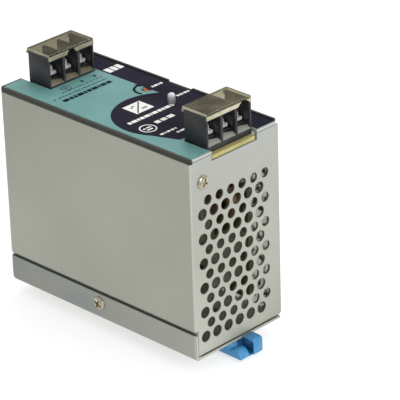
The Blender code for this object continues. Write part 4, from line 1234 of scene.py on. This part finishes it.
def build_latch():
    """Blue slider: tooth, body with the spring's window, and two lobes round a slot, with moulded radii."""
    low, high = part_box("rail_latch")
    wide = high.x
    end = low.y + 0.6 * MM
    bottom = low.z
    rail_half = 17.5 * MM
    profile = [
        (end, bottom),
        (high.y - 1.6 * MM, bottom),
        (high.y, bottom + 1.7 * MM),
        (high.y, bottom + 3.7 * MM),
        (-rail_half - 0.4 * MM, bottom + 3.7 * MM),
        (-rail_half - 0.4 * MM, bottom + 4.6 * MM),
        (-51.6 * MM, bottom + 4.6 * MM),
        (-52.4 * MM, bottom + 1.7 * MM),
        (end, bottom + 1.3 * MM),
    ]
    latch = mesh_object("rail_latch_slider", lambda bm: add_prism(bm, profile, "X", -wide, wide))
    radius = 3.3 * MM
    lobe = arc((end + radius, bottom + 0.1 * MM), radius, 0, 180, 28)
    join(latch, lambda bm: add_prism(bm, lobe, "X", -wide + 0.01 * MM, -0.8 * MM))
    crown = arc((low.y + 1.5 * MM, -0.2 * MM), 1.5 * MM, 90, 180, 14)
    foot = bottom + 0.01 * MM
    tall = [(low.y, foot), (-53.2 * MM, foot), (-53.2 * MM, 1.3 * MM), *crown]
    join(latch, lambda bm: add_prism(bm, tall, "X", 0.9 * MM, wide - 0.01 * MM))
    cut(latch, lambda bm: add_box(bm, (-2.4 * MM, -44.6 * MM, -8 * MM), (2.4 * MM, -28.0 * MM, 2 * MM)))
    slot_floor = bottom + 0.6 * MM
    cut(latch, lambda bm: add_box(bm, (-0.79 * MM, low.y - MM, slot_floor), (0.89 * MM, -53.4 * MM, 2 * MM)))
    soften(latch, 0.3 * MM, 3, 50)
    return piece(latch, FINISH["latch_blue"], "rail_latch", "latch_blue", "rail_latch")


def build_spring():
    """Fine coil of the latch spring, fixed with the case."""
    low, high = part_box("latch_spring")
    middle = (low + high) / 2
    wire = 0.25 * MM
    turns, per_turn = 9, 28
    length = high.y - low.y - 2 * wire
    curve = bpy.data.curves.new("latch_spring_wire", "CURVE")
    curve.dimensions = "3D"
    curve.bevel_depth = wire
    curve.bevel_resolution = 3
    curve.use_fill_caps = True
    spline = curve.splines.new("POLY")
    spline.points.add(turns * per_turn)
    for k, point in enumerate(spline.points):
        turn = 2 * math.pi * k / per_turn
        y = low.y + wire + length * k / (turns * per_turn)
        point.co = (1.6 * MM * math.cos(turn), y, middle.z + 1.6 * MM * math.sin(turn), 1)
    source = bpy.data.objects.new("latch_spring_curve", curve)
    bpy.context.scene.collection.objects.link(source)
    graph = bpy.context.evaluated_depsgraph_get()
    mesh = bpy.data.meshes.new_from_object(source.evaluated_get(graph))
    bpy.data.objects.remove(source, do_unlink=True)
    coil = bpy.data.objects.new("latch_spring_coil", mesh)
    bpy.context.scene.collection.objects.link(coil)
    piece(coil, FINISH["zinc_steel"], "supply", "zinc_steel", "latch_spring")
    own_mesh(coil)
    return coil


def build_led():
    """LED lens: flange, barrel and dome."""
    low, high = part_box("status_led")
    x, y = (low.x + high.x) / 2, (low.y + high.y) / 2
    radius = 1.6 * MM
    dome = arc((0, high.z - radius), radius, 90, 0, 12)
    flange = (high.x - low.x) / 2
    profile = [
        *[(max(px, 0.0), pz) for px, pz in dome],
        (radius, low.z + 1.0 * MM),
        (flange, low.z + 0.9 * MM),
        (flange, low.z),
        (0.0, low.z),
    ]
    lens = mesh_object("status_led_lens", lambda bm: add_turned(bm, profile, (x, y, 0), (0, 0, 1), 48))
    return piece(lens, FINISH["led_clear"], "supply", "led_clear", "status_led")


def build_small_parts():
    build_case_screw("lower_end_screw", (0, -1, 0))
    build_case_screw("upper_end_screw", (0, 1, 0))
    build_case_screw("left_flange_screw", (-1, 0, 0))
    build_case_screw("right_side_screw", (1, 0, 0))
    for name in RIVETS:
        build_rivet(name)
    build_latch()
    build_spring()
    build_led()


# ---- stage


def build_floor():
    """A plain pale floor just under the latch guide."""
    height = CAD_LOW.z - 0.2 * MM
    bpy.ops.mesh.primitive_plane_add(size=8.0, location=(0, 0, height))
    floor = bpy.context.object
    floor.name = "studio_floor"
    material = bpy.data.materials.new("studio_floor")
    material.use_nodes = True
    shader = material.node_tree.nodes["Principled BSDF"]
    shader.inputs["Base Color"].default_value = (0.42, 0.42, 0.42, 1.0)
    shader.inputs["Roughness"].default_value = 0.9
    shader.inputs["Emission Color"].default_value = (1.0, 1.0, 1.0, 1.0)
    shader.inputs["Emission Strength"].default_value = 0.62
    floor.data.materials.append(material)


def add_softbox(name, place, aim, size, power):
    light = bpy.data.lights.new(name, "AREA")
    light.shape = "SQUARE"
    light.size = size
    light.energy = power
    light.color = (0.95, 0.975, 1.0)
    lamp = bpy.data.objects.new(name, light)
    lamp.location = place
    lamp.rotation_mode = "QUATERNION"
    lamp.rotation_quaternion = (Vector(aim) - Vector(place)).to_track_quat("-Z", "Y")
    bpy.context.scene.collection.objects.link(lamp)


def build_world():
    """White surroundings with a dimmer band low down, which gives the metal something to reflect."""
    world = bpy.data.worlds.new("studio")
    bpy.context.scene.world = world
    world.use_nodes = True
    nodes, links = world.node_tree.nodes, world.node_tree.links
    way = nodes.new("ShaderNodeSeparateXYZ")
    links.new(nodes.new("ShaderNodeTexCoord").outputs["Generated"], way.inputs[0])

    def ramp(axis, from_low, from_high, low, high):
        node = nodes.new("ShaderNodeMapRange")
        links.new(way.outputs[axis], node.inputs["Value"])
        set_range(node, from_low, from_high, low, high)
        return node.outputs[0]

    strength = nodes.new("ShaderNodeMath")
    strength.operation = "MULTIPLY"
    links.new(ramp(2, 0.02, 0.55, 0.50, 1.05), strength.inputs[0])
    links.new(ramp(0, -0.9, 0.1, 0.72, 1.0), strength.inputs[1])
    background = nodes["Background"]
    background.inputs["Color"].default_value = (0.97, 0.98, 1.0, 1.0)
    links.new(strength.outputs[0], background.inputs["Strength"])


def build_light():
    """A softbox towards the perforated end, from the camera's side of it, and one over the front."""
    build_world()
    middle = (CAD_LOW + CAD_HIGH) / 2
    add_softbox("end_softbox", middle + Vector((-0.12, -1.15, 0.50)), middle, 0.7, 9.0)
    add_softbox("top_softbox", middle + Vector((0.5, 0.3, 1.1)), middle, 0.6, 4.0)


def build_camera():
    """A long lens from the latch end's left, a little above, turned slightly about its own axis."""
    azimuth, elevation, roll = (math.radians(angle) for angle in (-45.088, 26.169, -1.804))
    back = Vector(
        (
            math.sin(azimuth) * math.cos(elevation),
            -math.cos(azimuth) * math.cos(elevation),
            math.sin(elevation),
        )
    )
    aim = Vector((16.81 * MM, -15.74 * MM, 43.18 * MM))
    camera = bpy.data.objects.new("camera", bpy.data.cameras.new("camera"))
    camera.data.lens = 243.88
    camera.data.sensor_width = 36.0
    camera.location = aim + back * 1.087
    camera.rotation_mode = "QUATERNION"
    camera.rotation_quaternion = Quaternion(back, roll) @ (-back).to_track_quat("-Z", "Y")
    bpy.context.scene.collection.objects.link(camera)
    bpy.context.scene.camera = camera
    bpy.context.scene.view_settings.view_transform = "Standard"


build_chassis()
build_wrap()
build_label()
build_print()
build_terminals()
build_small_parts()
build_floor()
build_light()
build_camera()
